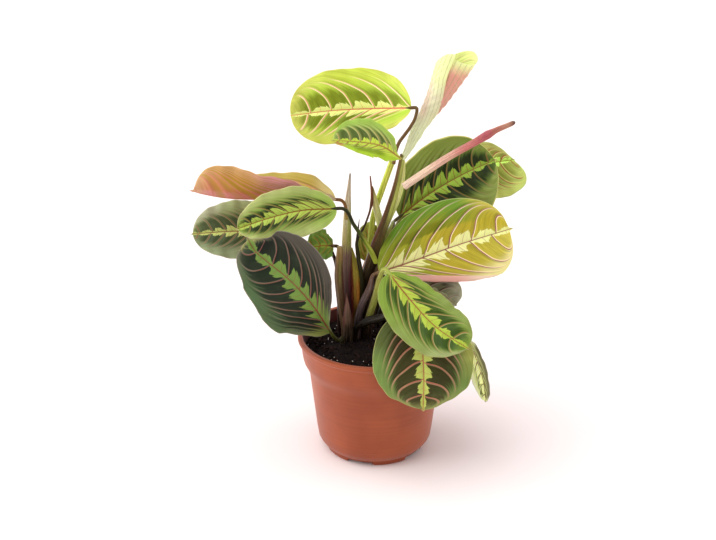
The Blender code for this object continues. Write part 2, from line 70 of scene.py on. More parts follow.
LEAVES = {
    "leaf_top": Leaf(
        [(25, -8, 279), (-2, 4, 275), (-33, 2, 274), (-62, -4, 272)], (0, -0.85, 0.5),
        Half(31, 0.5, 5, 5, -15, -10, 0.5), Half(25, 0.7, 5, 5, 0, -10, 0.5)),
    "leaf_top_small": Leaf(
        [(18.5, -7.3, 240), (4, -20, 254), (-15, -34, 262), (-32, -44, 266)], (0, -1, 0),
        Half(17, 0.62, 0, 0, -20, -20, 0.55, 2.2), Half(9.5, 0.4, 10, 0, 0, -20, 1.0, 0.9),
        face_tip=(0, -0.9, 0.4)),
    "leaf_funnel": Leaf(
        [(21, 2, 242), (35, 8, 266), (49, 10, 290), (63, 9, 307)], (-0.1, -0.9, 0.4),
        Half(25, 0.85, 0, 0, 200, 95, 0.35), Half(25, 0.85, 0, 0, 235, 110, 0.35), rolled=True),
    "leaf_right_dark": Leaf(
        [(19, 34, 179), (41, 34, 197.5), (66, 35, 213), (93, 38, 225)], (-0.1, -0.8, 0.6),
        Half(39, 0.62, 5, 5, 0, 0), Half(34, 0.58, 5, 5, 0, 0)),
    "leaf_right_back": Leaf(
        [(51, 62, 198), (71, 60, 208), (91, 58, 215), (109, 57, 218)], (0.1, -0.8, 0.55),
        Half(29, 0.7, 0, 0, 0, 0, 0.5, 1.2), Half(21, 0.45, 0, 0, 0, 0, 1.1)),
    "leaf_right_gold": Leaf(
        [(3, 2, 146), (26, -4, 157), (62, -6, 172), (104, 3, 182)], (0, -0.85, 0.5),
        Half(34, 0.7, 12, 5, 5, 0, 0.4, 1.3), Half(36, 0.52, 5, 5, -10, -10, 0.45)),
    "leaf_front_mid": Leaf(
        [(10, -30, 159), (23, -52, 150), (42, -72, 136), (66, -88, 125)], (0.1, -0.75, 0.65),
        Half(25, 0.55), Half(21, 0.68, 5, 5, -10, -10, 0.45)),
    "leaf_front_low": Leaf(
        [(35, -42, 136), (34, -62, 116), (35, -70, 91), (35, -66, 63)], (0, -0.85, 0.5),
        Half(37, 0.5, 3, 3, -10, -10, 0.75), Half(37, 0.5, 3, 3, -10, -10, 0.75)),
    "leaf_right_low": Leaf(
        [(69.5, -34, 106), (75, -42, 95), (80, -48, 80), (82.5, -50, 62)], (-0.8, -0.6, 0.2),
        Half(9, 0.5, 25, 25, 0, 0), Half(16, 0.5, 25, 25, 0, 0)),
    "leaf_right_shade": Leaf(
        [(24, 30, 123), (39, 22, 125), (53, 12, 123), (63, 2, 118)], (0.1, -0.8, 0.55),
        Half(24, 0.6, 0, 0, 0, 0, 0.45), Half(16, 0.6, 0, 0, 0, 0, 0.5)),
    "leaf_left_rolled": Leaf(
        [(-30, 0, 206), (-56, -6, 211), (-84, -10, 211), (-111, -10, 212), (-137, -8, 216)],
        (0, -0.5, 0.85), Half(20, 0.35, 15, 15, 0, 0), Half(27, 0.72, 45, 118, 20, 15, 0.45), rolled=True),
    "leaf_left_mid": Leaf(
        [(-29, -22, 207), (-55, -34, 210), (-78, -42, 207), (-101, -46, 200)], (0, -0.8, 0.6),
        Half(19, 0.5), Half(20, 0.5)),
    "leaf_left_back": Leaf(
        [(-65, 10, 184), (-91, 2, 181), (-115, -2, 181), (-139, -2, 179)], (0, -0.8, 0.6),
        Half(24, 0.5, 4, 4, -5, -5, 0.5), Half(22, 0.5)),
    "leaf_left_low": Leaf(
        [(-34, -22, 107), (-49, -44, 143), (-65, -57, 168), (-78, -62, 182), (-86, -66, 192),
        (-91, -70, 204)], (-0.1, -0.85, 0.5), Half(29.5, 0.68, 12, 0, 0, 0, 0.72, 2.2),
        Half(34.5, 0.46, 5, 5, 0, 0, 0.7, 1.1)),
    "leaf_left_small": Leaf(
        [(-32, 4, 167), (-37, 0, 169), (-45, -2, 169), (-52, -4, 169)], (0, -0.8, 0.6), Half(13, 0.5),
        Half(11, 0.5)),
    "leaf_centre_back": Leaf(
        [(-7, 40, 139), (-4, 38, 150), (0, 34, 161), (5, 30, 172)], (0, -0.8, 0.6),
        Half(13, 0.6, 5, 5, -5, -5, 0.35), Half(14, 0.65, 5, 5, -5, -5, 0.35)),
}

FOOT_HEIGHTS = (81, 85.5, 90)


def rooted(x, y, radius):
    """The straight foot of a stalk in the soil."""
    return [(x, y, z, radius) for z in FOOT_HEIGHTS]


# Points and the radius at each, from the soil up. A petiole carries the leaf of the same name.
STALKS = {
    "sheath_spear": rooted(-20, 16, 3.3) + [
        (-22, 10, 128, 3.6), (-22, 10, 169, 3.5), (-21, 10, 198, 2.4), (-19, 10, 223, 0.5)],
    "sheath_cut": rooted(-23, 8, 3.0) + [(-26, 2, 120, 3.4), (-28, 2, 143, 3.4), (-27, 2, 167, 2.2)],
    "stem_main": [
        (-12, 30, 81, 5.5), (-12, 30, 85.5, 5.5), (-12, 28, 90, 5.6), (-5, 16, 139, 5.6), (1, 10, 165, 4.4),
        (10, 4, 195, 3.1), (16, 0, 220, 2.4), (19.8, -1.2, 241.4, 2.0)],
    "stem_pale": rooted(-8, 41, 2.3) + [
        (-5, 30, 136, 2.3), (-1, 23, 185, 2.3), (6, 14, 212, 2.3), (12, 7, 233, 2.3)],
    "petiole_right_gold": [
        (-14, 12, 81, 3.0), (-14, 11, 85.5, 3.0), (-14, 10, 90, 3.0), (-10, 5, 118, 2.9),
        (-4, 3, 133, 2.6)],
    "petiole_front_mid": [
        (-8, 16, 81, 2.4), (-8, 16, 85.5, 2.4), (-8, 15, 90, 2.4), (-4, 0, 112, 2.7), (1, -8, 134, 2.6),
        (3, -14, 148, 2.0)],
    "petiole_front_low": [
        (-16, 6, 81, 2.0), (-16, 6, 86, 2.2), (-14, 4, 98, 2.4), (-5, -4, 107, 2.4), (6, -14, 115, 2.2),
        (18, -27, 129, 1.6)],
    "petiole_right_low": rooted(7, 21, 1.6) + [(16, 4, 116, 1.5), (36, -10, 126, 1.4), (56, -22, 121, 1.3)],
    "petiole_right_shade": rooted(3, 32, 1.6) + [(7, 32, 108, 1.5), (13, 35, 121, 1.4)],
    "petiole_right_back": rooted(2, 43, 1.8) + [(8, 46, 130, 1.7), (20, 56, 168, 1.6), (36, 62, 188, 1.4)],
    "petiole_centre_back": [
        (-16, 43, 81, 2.4), (-16, 43, 85.5, 2.4), (-16, 43, 90, 2.6), (-13, 41, 112, 2.8),
        (-10, 40, 126, 2.0)],
    "petiole_left_back": rooted(-28, 26, 1.6) + [
        (-29, 19, 130, 1.5), (-31, 18, 150, 1.4), (-38, 17, 165, 1.3), (-50, 14, 180, 1.3)],
    "petiole_left_low": rooted(-25, 0, 1.6) + [(-28, -12, 95, 1.5)],
    "petiole_left_small": rooted(-28, 19, 1.4) + [
        (-28, 12, 127, 1.3), (-28, 11, 145, 1.2), (-27, 9, 158, 1.2)],
    "flower_stalk": rooted(-13, 18, 1.6) + [
        (-10, 9, 135, 1.9), (-13.5, 8, 160, 1.6), (-14.2, 8, 168, 1.2), (-8, 9, 182, 0.8),
        (-4, 10, 194, 0.8), (-3, 10, 199, 1.3), (-4, 10, 221, 0.5)],
    "petiole_right_dark": [(4, 11, 153, 2.6), (8, 13, 167, 2.4), (13, 18, 178, 1.8)],
    "petiole_left_mid": [(0.5, 5.6, 153, 2.0), (-3, 1, 163, 1.9), (-9, -5, 176, 1.6), (-16, -12, 190, 1.4)],
    "petiole_left_rolled": [(-22, 5.6, 188, 1.2), (-22, 4.6, 196, 1.2)],
    "petiole_top": [
        (13.1, -0.2, 234, 1.3), (14.3, -1, 243, 1.3), (17, -4, 252, 1.3), (20.5, -9, 259, 1.3),
        (25, -12.5, 267, 1.2), (28, -12, 273, 1.2)],
    "flower_side": [(-14, 8, 167, 1.0), (-13.6, 8, 173, 1.0), (-12.2, 8, 187, 0.25)],
    "bract": [(5, 17, 170, 2.2), (3, 15, 184, 2.8), (-0.5, 13, 200, 2.5), (-2.5, 12, 212, 0.6)],
    "leaf_spear": [
        (21, -4.7, 218, 2.8), (34.4, -8, 229, 2.8), (54.2, -13, 244.7, 2.6), (70.9, -19, 256.9, 2.6),
        (79.5, -21.4, 263.2, 3.1), (84.5, -22.8, 266.6, 2.1), (96.6, -25.8, 273.2, 1.7),
        (98, -26, 274, 0.8)],
}

# Small stalks and bud sheaths at the foot of the plant that the CAD leaves out, each with the CAD node it
# goes with.
EXTRA_STALKS = {
    "sheath_side": ("stem_main", [
        (-7, 16, 84, 5.0), (-6, 14, 95, 5.0), (-3, 10, 125, 4.2), (3, 8, 145, 3.0), (5, 9, 158, 1.5)]),
    "sheath_wing": ("sheath_spear", [
        (-16.5, 14, 84, 3.2), (-15.8, 14, 100, 4.0), (-15.5, 13, 124, 4.4), (-16.2, 13, 146, 3.8),
        (-18, 13, 162, 0.5)]),
    "sheath_right": ("stem_main", [
        (7.5, 9, 176, 0.8), (11, 7, 189, 1.8), (14.2, 6, 200.5, 3.2), (17, 4, 212, 3.4),
        (19.2, 3, 224, 2.6), (20.3, 1, 236, 1.4)]),
    "bud_front": ("sheath_cut", [
        (-21, 4, 84, 3.4), (-21, 2, 96, 4.2), (-21, -1, 108, 3.9), (-21.4, -2, 118, 2.4),
        (-21.8, -2, 130, 0.3)]),
    "stalk_low": ("petiole_front_low", [
        (-18, 10, 86, 1.6), (-15, 2, 99, 2.0), (-6, -2, 108, 2.2), (6, -7, 113, 2.2), (20, -12, 118, 1.8)]),
}

KNEE = 4.0  # how far before its blade a petiole bends into line with the midrib
KNEE_R = 1.3

# ---------------- how each leaf looks

# The halo highlight is the pale line beside each vein, partly its own pale colour and partly a painted
# highlight.
# Places along run from the base to the tip. Places across run from the midrib to the margin and are
# negative on the left half. Pairs are for the right and the left half.
# colours: mid, margin, dark, band, vein, vein_far and the halo highlight of the upper face, in this order.
# sweep: how far veins lean towards the tip, in a line and in a bow, as shares of the length.
# fan, lobe: mm by which the margin runs ahead near the tip and is drawn back at the base.
# zones: colour, amount, then (rise, full) and (full, end) along, and the same across.
# hem: degrees by which the right margin is folded, from where to where across, and the same along.
FACE_COLOURS = ("mid", "margin", "dark", "band", "vein", "vein_far", "halo_highlight")
LOOK = dict(
    under="8d6a62", under_vein="c08a80", rim="9aa468", tone=(1.0, 1.0, 1.0), spacing=12.0, reach=8.0,
    dark_to=0.62, dark_gap=0.6, dark_share=0.9, vein_half=0.34, vein_to=0.85, halo_highlight_half=0.5,
    halo_highlight_share=0.5, glow=0.12, shine=0.15, wave=1.2, quilt=0.6, sub=0.5, ragged=2.2, rim_mm=0.8,
    sweep=((0.3, 0.4), (0.3, 0.4)), tip=0.025, fan=(0.0, 0.0), lobe=(0.0, 0.0), hem=None,
    zones=(), under_zones=(), under_band="", lines=0.0, line_colour="")

LOOKS = {
    "leaf_top": dict(
        colours="84b428 9cb840 546c0c acd05c 9c4830 b8a868 ccd484", tone=(2.34, 1.74, 3.15), under="c9a878",
        under_vein="d88a80", rim="a4ac54", glow=0.3, dark_to=0.5, spacing=15.5, reach=5.5, halo_highlight_share=0.9,
        tip=0.0, wave=0.9, ragged=1.0, vein_half=0.28, sweep=((0.14, 0.42), (1.6, 0.2)),
        zones=[("94ac3c", 0.9, (0.78, 0.95)), ("8cb024", 0.6, (0.1, 0.4), (0.6, 0.8), (0.4, 0.7))]),
    "leaf_top_small": dict(
        colours="8f9c68 8fac58 3a4a24 b4c858 98684c b0a880 c4c49c", tone=(1.45, 1.52, 0.97), rim="a8b870",
        glow=0.15, spacing=9.0, reach=3.6, quilt=0.8, wave=1.8, halo_highlight_half=0.4, halo_highlight_share=0.45,
        dark_to=0.72, sweep=((0.1, 0.45), (0.6, 0.5)),
        zones=[
            ("9cb834", 0.9, None, (0.75, 0.95), None, (-0.1, 0.1)),
            ("647c1c", 0.7, (0.2, 0.3), (0.66, 0.8), (-0.8, -0.6), (-0.35, -0.15)),
            ("b06a50", 0.9, (0.82, 0.9), None, None, (-0.5, -0.3))]),
    "leaf_funnel": dict(
        colours="dcdc84 e4e494 ccd068 e4e890 c89858 ccb060 e0dc9c", tone=(1.16, 1.24, 1.62), under="ece0b4",
        under_vein="dcd8a0", glow=0.35, spacing=6.0, vein_half=0.22, reach=1.0, quilt=0.15, wave=0.4,
        dark_share=0.3, sub=0.0, sweep=((0.1, 2.5), (0.1, 2.5)), lines=10.0, line_colour="a09c54",
        rim="ecec9c",
        under_zones=[
            ("e8e898", 0.8, (0.62, 0.85)),
            ("e4c0a0", 0.7, (0.3, 0.45), (0.7, 0.85), (-0.75, -0.6), (-0.45, -0.35)),
            ("e0a084", 1.0, (0.4, 0.55), (0.86, 1.0), (0.3, 0.4)), ("e8ecb0", 0.6, None, (0.3, 0.5))]),
    "leaf_right_dark": dict(
        colours="4e6430 74864a 0e160c 84a444 7c4c38 8a8864 6a7044", tone=(1.12, 1.06, 0.76), rim="e0dca0",
        spacing=11.5, reach=9.0, dark_to=0.44, dark_gap=0.2, glow=0.04, sub=1.0, halo_highlight_share=0.3, quilt=0.8,
        sweep=((0.36, 0.42), (0.25, 0.5)), rim_mm=1.6, shine=0.1,
        zones=[
            ("6c7c3c", 0.85, None, None, None, (-0.75, -0.35)), ("64742c", 0.5, None, (0.15, 0.35)),
            # Painted reflection: the lighter grey-green over the outer right half.
            ("7c8c50", 0.9, (0.2, 0.4), None, (0.4, 0.65))]),
    "leaf_right_back": dict(
        colours="94983c a9ab4c 6c6c20 a9c648 743010 7c4418 b8a858", tone=(1.86, 2.1, 2.95), spacing=8.5,
        reach=6.0, glow=0.25, dark_to=0.66, dark_share=0.8, vein_to=1.0, vein_half=0.5,
        sweep=((0.35, 0.5), (0.25, 0.5)), fan=(22.0, 3.0),
        zones=[
            ("8a8038", 0.8, None, None, None, (-0.6, -0.2)), ("a0a448", 0.6, (0.5, 0.8), None, (0.3, 0.6))]),
    # leaf_right_gold: its gold colours are partly its own yellow and partly painted light shining through the
    # leaf.
    "leaf_right_gold": dict(
        colours="b8a028 c4b040 9c8818 dcd478 7c1c28 903038 ecd090", tone=(1.26, 1.47, 2.2), under="d89890",
        under_vein="c88880", rim="ccc870", spacing=19.0, reach=9.0, glow=0.3, dark_to=0.75, vein_half=0.4,
        halo_highlight_half=0.4, halo_highlight_share=1.0, vein_to=1.02, hem=(160, 0.7, 0.8, 0.0, 0.86), tip=0.035,
        dark_share=0.5, sweep=((0.6, 0.5), (0.26, 0.3)), wave=0.4,
        under_zones=[
            ("dc9c78", 1.0, None, (0.5, 0.75)), ("e4c090", 1.0, (0.5, 0.75)),
            ("c87858", 0.7, None, (0.6, 0.8), None, (0.76, 0.86))],
        zones=[
            ("94a028", 0.9, None, (0.25, 0.5)),
            # Painted shade: the next two green zones, on the left half, the upper one, where another leaf
            # blocks the light shining through.
            ("6a8c24", 0.95, (0.05, 0.2), (0.66, 0.86), None, (-0.5, -0.38)),
            ("3c5c0c", 0.95, (0.12, 0.28), (0.5, 0.66), (-0.64, -0.56), (-0.44, -0.4)),
            ("c8b444", 0.8, (0.6, 0.9), None, (-0.4, 0.0)), ("dcc878", 0.8, (0.55, 0.75), None, (0.5, 0.8))]),
    "leaf_front_mid": dict(
        colours="688c30 749048 22400c 98bc42 864434 90704c a4ac70", tone=(1.34, 1.07, 1.1), rim="94a060",
        spacing=15.0, reach=6.8, glow=0.1, dark_gap=0.3, quilt=0.9, vein_half=0.28, halo_highlight_half=0.35,
        sweep=((0.34, 0.42), (0.34, 0.42)),
        zones=[("6c9428", 0.6, None, (0.3, 0.55)), ("a4b488", 0.35, (0.6, 0.9), None, (0.5, 0.8))]),
    "leaf_front_low": dict(
        colours="446c2c 587a3a 28260f 8fae50 8c4c40 90785c 948060", tone=(1.86, 1.4, 1.56), rim="8c9c5c",
        shine=0.12, spacing=13.8, reach=6.5, glow=0.06, dark_to=0.66, dark_gap=0.2, vein_half=0.36,
        halo_highlight_half=0.6, halo_highlight_share=0.6, quilt=0.8, vein_to=0.88, sweep=((0.26, 0.55), (0.26, 0.55)),
        zones=[
            # Painted shadow: the first zone below, dark brown near the base, under the leaf above.
            ("28200f", 0.6, None, (0.3, 0.5)), ("889a48", 0.7, None, (0.4, 0.75), None, (-0.95, -0.6)),
            # Painted highlight: the lighter grey-green at the tip.
            ("7c8c50", 0.6, (0.7, 0.95))]),
    "leaf_right_low": dict(
        colours="b0a850 c4b87c 4c441c d8cc78 6c4430 8c6c44 b4b070", tone=(2.2, 2.9, 4.2), rim="5c4c34",
        spacing=9.0, reach=3.2, glow=0.2, quilt=0.2, wave=0.3, dark_to=0.8, sweep=((0.5, 0.5), (0.5, 0.5)),
        vein_half=0.5,
        zones=[("3c3410", 0.85, (0.08, 0.2), (0.8, 0.95), None, (-0.75, -0.45))]),
    # leaf_right_shade lies in shade: its pale colours are painted light, and its dark zone over the base is
    # painted shade under the leaves above.
    "leaf_right_shade": dict(
        colours="a8b094 b4bca0 78805c a8b488 8c6c60 9c9880 a8ac90", spacing=10.0, reach=2.0, glow=0.05,
        dark_share=0.6, dark_to=0.5,
        zones=[("2c2418", 0.95, None, (0.6, 0.8))]),
    "leaf_left_rolled": dict(
        colours="c8ac40 c8b450 b89838 d0c060 c87c60 c89058 d8b470", tone=(1.12, 1.22, 1.7), under="d08450",
        under_vein="d4845c", rim="d8c080", glow=0.3, spacing=13.0, dark_share=0.2, sub=0.0, vein_half=0.4,
        halo_highlight_half=0.8, sweep=((0.3, 0.4), (1.1, 0.3)), vein_to=1.1, under_band="b88c24",
        zones=[("dcc878", 0.9, None, (0.08, 0.2))],
        under_zones=[
            ("c8983c", 0.8, (0.38, 0.5), (0.72, 0.86), (-0.85, -0.6), (-0.35, -0.15)),
            ("dc9488", 0.9, None, (0.42, 0.62)), ("dc9078", 0.9, (0.4, 0.6), None, (-0.2, -0.1)),
            ("b8603c", 0.6, (0.4, 0.5), (0.62, 0.8), (-0.4, -0.2)), ("dccc98", 0.9, None, (0.06, 0.16)),
            ("d8b070", 0.7, (0.85, 0.97))]),
    "leaf_left_mid": dict(
        colours="608430 809858 16240a 7ca03e 5c3018 6c603c 98a464", tone=(2.0, 1.5, 1.68), rim="a4b478",
        spacing=9.5, reach=6.5, glow=0.1, dark_to=0.48, dark_gap=0.12, vein_half=0.28, halo_highlight_half=0.3,
        sweep=((0.42, 0.35), (0.45, 0.35)), dark_share=1.0, halo_highlight_share=0.15, quilt=0.3,
        zones=[("70983c", 0.65, None, (0.1, 0.35))]),
    "leaf_left_back": dict(
        colours="5c6c38 8c9870 28361c 94a854 643026 6c5644 8c8468", tone=(1.76, 1.5, 1.85), rim="9aa080",
        spacing=10.0, reach=5.0, glow=0.06, dark_to=0.6, dark_gap=0.4, vein_half=0.3, halo_highlight_half=0.4,
        halo_highlight_share=0.15, sweep=((0.36, 0.35), (0.38, 0.35)),
        zones=[
            ("6c8444", 0.6, (0.1, 0.3), (0.6, 0.8), (0.3, 0.6)),
            ("5c7044", 0.75, None, None, None, (-0.7, -0.3))]),
    "leaf_left_low": dict(
        colours="42583a 646c54 141c12 648a3c 7c3a36 7a6054 807a66", tone=(1.36, 1.16, 1.26), rim="848874",
        shine=0.12, spacing=15.5, reach=9.0, glow=0.02, dark_to=0.76, dark_gap=0.1, vein_half=0.28,
        halo_highlight_half=0.4, quilt=0.9, sweep=((0.34, 0.42), (0.3, 0.45)), lobe=(0.0, 14.0),
        zones=[
            ("46603c", 0.75, (0.1, 0.3), (0.8, 0.95), None, (-0.75, -0.4)),
            ("3e6436", 0.4, (0.1, 0.3), (0.75, 0.95), None, (0.0, 0.1)),
            # Painted sheen: the first zone below, purple-grey over the outer right half.
            ("403c38", 0.75, (0.1, 0.3), None, (0.45, 0.8)), ("7c9040", 0.8, None, (0.08, 0.2)),
            # Painted shadow: the near-black patch near the tip, in a hollow of the leaf.
            ("0c100c", 0.95, (0.8, 0.86), (0.9, 0.96), (0.08, 0.14), (0.5, 0.7)),
            ("94a05c", 0.9, (0.93, 0.97))]),
    "leaf_left_small": dict(
        colours="808c38 78883c 5c6c28 98a03c a85428 8c6030 a8943c", tone=(0.92, 1.28, 1.2), spacing=6.0,
        reach=2.0, glow=0.15, dark_share=0.5, sub=0.2, sweep=((0.35, 0.3), (0.35, 0.3)), wave=1.8),
    "leaf_centre_back": dict(
        colours="9a9c3a 8f963c 6f6a1c b0b048 b0542c a0702c b09c4c", spacing=7.0, reach=3.0, glow=0.2),
}

# along: percent of a stalk's length and its colour there. fibre: colour of its fine stripes.
# zones: as for the leaves, but across means how far the surface faces right, from -1 to 1.
STALK_LOOK = dict(
    fibre="3a2a20", fibre_share=0.35, zones=(), rough=0.4, ridges=0.03, flat=1.0, tone=(1.08, 1.0, 0.68))

# The near-black colours at the foot of the stalks, and along the stalks deep in the clump, are partly their
# own dark purple-brown and partly painted shade among the stems.
STALK_LOOKS = {
    "sheath_spear": dict(
        along="0 1c1012, 15 2c1c1a, 35 4c3830, 54 74604a, 62 a0a058, 75 b4b878, 95 b8b088, 100 4a3c30",
        fibre="5c4c38", fibre_share=0.5, ridges=0.06, tone=(1.16, 1.02, 1.3),
        zones=[
            ("8c9c3c", 0.8, (0.55, 0.62), (0.75, 0.85), (0.0, 0.4)),
            ("d8dca8", 0.7, (0.7, 0.8), None, (-0.5, -0.2), (0.2, 0.5)),
            ("5c1c30", 0.8, (0.1, 0.2), (0.4, 0.5), (0.4, 0.7))]),
    "sheath_cut": dict(
        along="0 1c1212, 25 32221e, 55 54402e, 80 6c5438, 92 94784c, 100 a89068", fibre="8c7450",
        fibre_share=0.45, ridges=0.07, tone=(0.95, 0.95, 0.8),
        zones=[
            ("2a1414", 0.9, None, (0.8, 0.95), None, (-0.75, -0.45)),
            ("4c1c20", 0.7, None, (0.7, 0.9), (0.6, 0.85)),
            ("7c8440", 0.5, (0.6, 0.75), (0.85, 0.95), (-0.2, 0.1), (0.5, 0.8))]),
    "stem_main": dict(
        along="0 1c1414, 20 281c1a, 42 30221c, 60 483826, 100 6a5c38", fibre="6c5c3c", fibre_share=0.5,
        ridges=0.05, tone=(0.96, 0.96, 0.5),
        zones=[
            ("acb478", 0.95, (0.6, 0.78), None, (-0.2, 0.15)),
            ("6c7840", 0.4, (0.4, 0.5), (0.6, 0.75), (0.5, 0.8)),
            ("5c2020", 0.7, (0.35, 0.5), None, None, (-0.8, -0.5))]),
    "stem_pale": dict(
        along="0 3c2c20, 30 6a6a30, 60 9cac44, 80 b4c850, 100 bccc5c", fibre="8a9c38", fibre_share=0.5,
        zones=[("dce088", 0.6, (0.5, 0.7), None, (-0.3, 0.1), (0.2, 0.6))]),
    "petiole_right_gold": dict(
        along="0 1c1416, 25 3c3034, 50 544648, 75 64483c, 90 7c5c40, 100 b4a460", fibre="84747a",
        fibre_share=0.6, tone=(1.0, 1.0, 0.85),
        zones=[
            # Painted shade: the dark zone on the side facing right. Painted highlight: the grey-mauve zone on
            # the side facing left and front.
            ("281818", 0.9, None, (0.8, 0.95), (0.3, 0.7)),
            ("6a5c64", 0.5, (0.2, 0.4), (0.8, 0.9), (-0.6, -0.3), (0.0, 0.3))]),
    "petiole_front_mid": dict(
        along="0 24200f, 22 5c5c28, 45 8c9440, 75 a8b054, 100 a0b04c", fibre="c0c480",
        tone=(0.92, 0.9, 0.8),
        zones=[("5c4c28", 0.8, None, (0.7, 0.9), None, (-0.8, -0.4))]),
    "petiole_front_low": dict(along="0 0c0808, 50 16140c, 100 2c3418"),
    "petiole_right_low": dict(along="0 14100e, 50 222018, 100 4a4828"),
    "petiole_right_shade": dict(along="0 14100e, 50 222018, 100 34341f"),
    "petiole_right_back": dict(along="0 241c18, 50 5a5c30, 100 8a9444"),
    "petiole_centre_back": dict(along="0 2c1c14, 50 5c4020, 100 8c5c28"),
    "petiole_left_back": dict(along="0 1c1212, 50 301f1f, 100 443828"),
    "petiole_left_low": dict(along="0 1c1812, 50 34341c, 100 545c2c"),
    "petiole_left_small": dict(along="0 1c1212, 50 301f1f, 90 3c2c24, 100 6a5034"),
    "flower_stalk": dict(
        along="0 181008, 35 20200f, 60 242410, 72 2c1e14, 82 5a3428, 100 7d4c40", fibre="5a5028"),
    "petiole_right_dark": dict(
        along="0 5c6430, 35 8c9860, 70 74805c, 85 34301c, 100 1c1812", fibre="a4ac80",
        zones=[("2c2818", 0.9, None, None, (0.3, 0.6))]),
    "petiole_left_mid": dict(
        along="0 a8bc4c, 25 809838, 42 404c20, 70 1c2010, 100 1c1810", fibre="5c6c30",
        zones=[("b0b860", 0.6, None, (0.3, 0.5), (0.2, 0.6))]),
    "petiole_left_rolled": dict(along="0 a08c50, 40 84603a, 100 6a4830"),
    "petiole_top": dict(along="0 6c5434, 50 5a442c, 100 4c3824", fibre="948058"),
    "flower_side": dict(along="0 20180e, 100 2c2018"),
    "bract": dict(
        along="0 b4bc74, 50 c4c888, 80 b8b078, 100 6a4434", fibre="8c8c50", tone=(1.25, 1.25, 1.05),
        zones=[("b08478", 0.35, (0.3, 0.6), None, None, (-0.6, -0.1))]),
    "leaf_spear": dict(
        along="0 e8e8b8, 22 e0d8a4, 38 c8a884, 60 b07060, 78 9c5050, 86 98644c, 95 a07c5c, 100 4c3424",
        fibre="743c34", fibre_share=0.5, rough=0.38, tone=(1.14, 1.0, 1.2),
        zones=[("c8a890", 0.5, None, (0.3, 0.6))]),
    "sheath_side": dict(
        along="0 1c1214, 30 2a1a18, 60 3c2820, 85 5c4028, 100 6a5034", fibre="6c503c", fibre_share=0.4,
        ridges=0.06, tone=(0.95, 1.1, 0.9)),
    "sheath_wing": dict(
        along="0 241412, 25 5c3c20, 50 a8803c, 75 b0a848, 100 a0a048", fibre="b8a050", fibre_share=0.5,
        flat=0.45,
        zones=[
            ("7c1c34", 0.95, (0.15, 0.25), None, None, (-0.6, -0.3)),
            ("c07838", 0.7, (0.3, 0.4), (0.6, 0.75), (0.0, 0.4))]),
    "bud_front": dict(
        along="0 140e0c, 35 2c201a, 60 5c443a, 85 785048, 100 5c2c28", fibre="a08068", fibre_share=0.4,
        flat=0.5, tone=(0.9, 0.95, 0.85),
        zones=[
            ("4c1c20", 0.8, (0.3, 0.5), None, (0.6, 0.8)),
            ("4c1c20", 0.8, (0.3, 0.5), None, None, (-0.8, -0.6))]),
    "sheath_right": dict(
        along="0 54562c, 25 a4ac6c, 60 c4cc90, 100 d0d49c", fibre="8c9858", fibre_share=0.5, flat=0.5,
        tone=(1.08, 1.06, 0.75),
        zones=[("e4e4bc", 0.7, (0.3, 0.5), None, (-0.2, 0.1), (0.3, 0.6))]),
    "stalk_low": dict(along="0 0c0808, 50 16120c, 100 201c12"),
}

# ---------------- small helpers


def tint(code, tone=(1.0, 1.0, 1.0)):
    """Linear colour from an sRGB hex code, each channel times its part of the tone."""
    channels = [int(code[i:i + 2], 16) / 255 for i in (0, 2, 4)]
    linear = [c / 12.92 if c <= 0.04045 else ((c + 0.055) / 1.055) ** 2.4 for c in channels]
    return tuple(c * t for c, t in zip(linear, tone))


def unit(v):
    v = np.asarray(v, float)
    return v / np.linalg.norm(v)


def curve(table, at):
    """Value at a place, from a table of (place, value) pairs."""
    return np.interp(at, *zip(*table))


def smoothed(values, reach):
    """Running mean over as many neighbours on each side as reach says."""
    width = 2 * reach + 1
    return np.convolve(np.pad(values, reach, mode="edge"), np.ones(width) / width, mode="valid")


def run_length(points):
    """Distance from the first point to each point."""
    return np.concatenate([[0], np.cumsum(np.linalg.norm(np.diff(points, axis=0), axis=1))])


def smooth_path(points, stations):
    """Points on a smooth curve through the given ones, at the given shares of its length."""
    p = np.array(points, float)
    chords = np.linalg.norm(np.diff(p, axis=0), axis=1)[:, None]
    slopes = np.diff(p, axis=0) / chords
    inner = (slopes[:-1] * chords[1:] + slopes[1:] * chords[:-1]) / (chords[:-1] + chords[1:])
    tangents = np.concatenate([slopes[:1], inner, slopes[-1:]])
    t = np.linspace(0, 1, 24, endpoint=False)[:, None]
    dense = []
    for i, chord in enumerate(chords):
        bend = chord * (t ** 3 - 2 * t ** 2 + t) * tangents[i] + chord * (t ** 3 - t ** 2) * tangents[i + 1]
        dense.append(p[i] + (3 * t ** 2 - 2 * t ** 3) * (p[i + 1] - p[i]) + bend)
    dense = np.concatenate(dense + [p[-1:]])
    run = run_length(dense)
    want = np.asarray(stations) * run[-1]
    return np.stack([np.interp(want, run, dense[:, k]) for k in range(3)], axis=-1)


def grid_quads(rows, cols, closed=False, first=0, flip=False):
    """Quads between neighbouring rows of a grid; closed joins its last column to its first."""
    faces = []
    for i in range(rows - 1):
        a = first + i * cols
        b = a + cols
        for j in range(cols if closed else cols - 1):
            k = (j + 1) % cols
            faces.append((a + j, b + j, b + k, a + k) if flip else (a + j, a + k, b + k, b + j))
    return faces


def add_object(name, data):
    """A new object in the scene."""
    added = bpy.data.objects.new(name, data)
    bpy.context.scene.collection.objects.link(added)
    return added


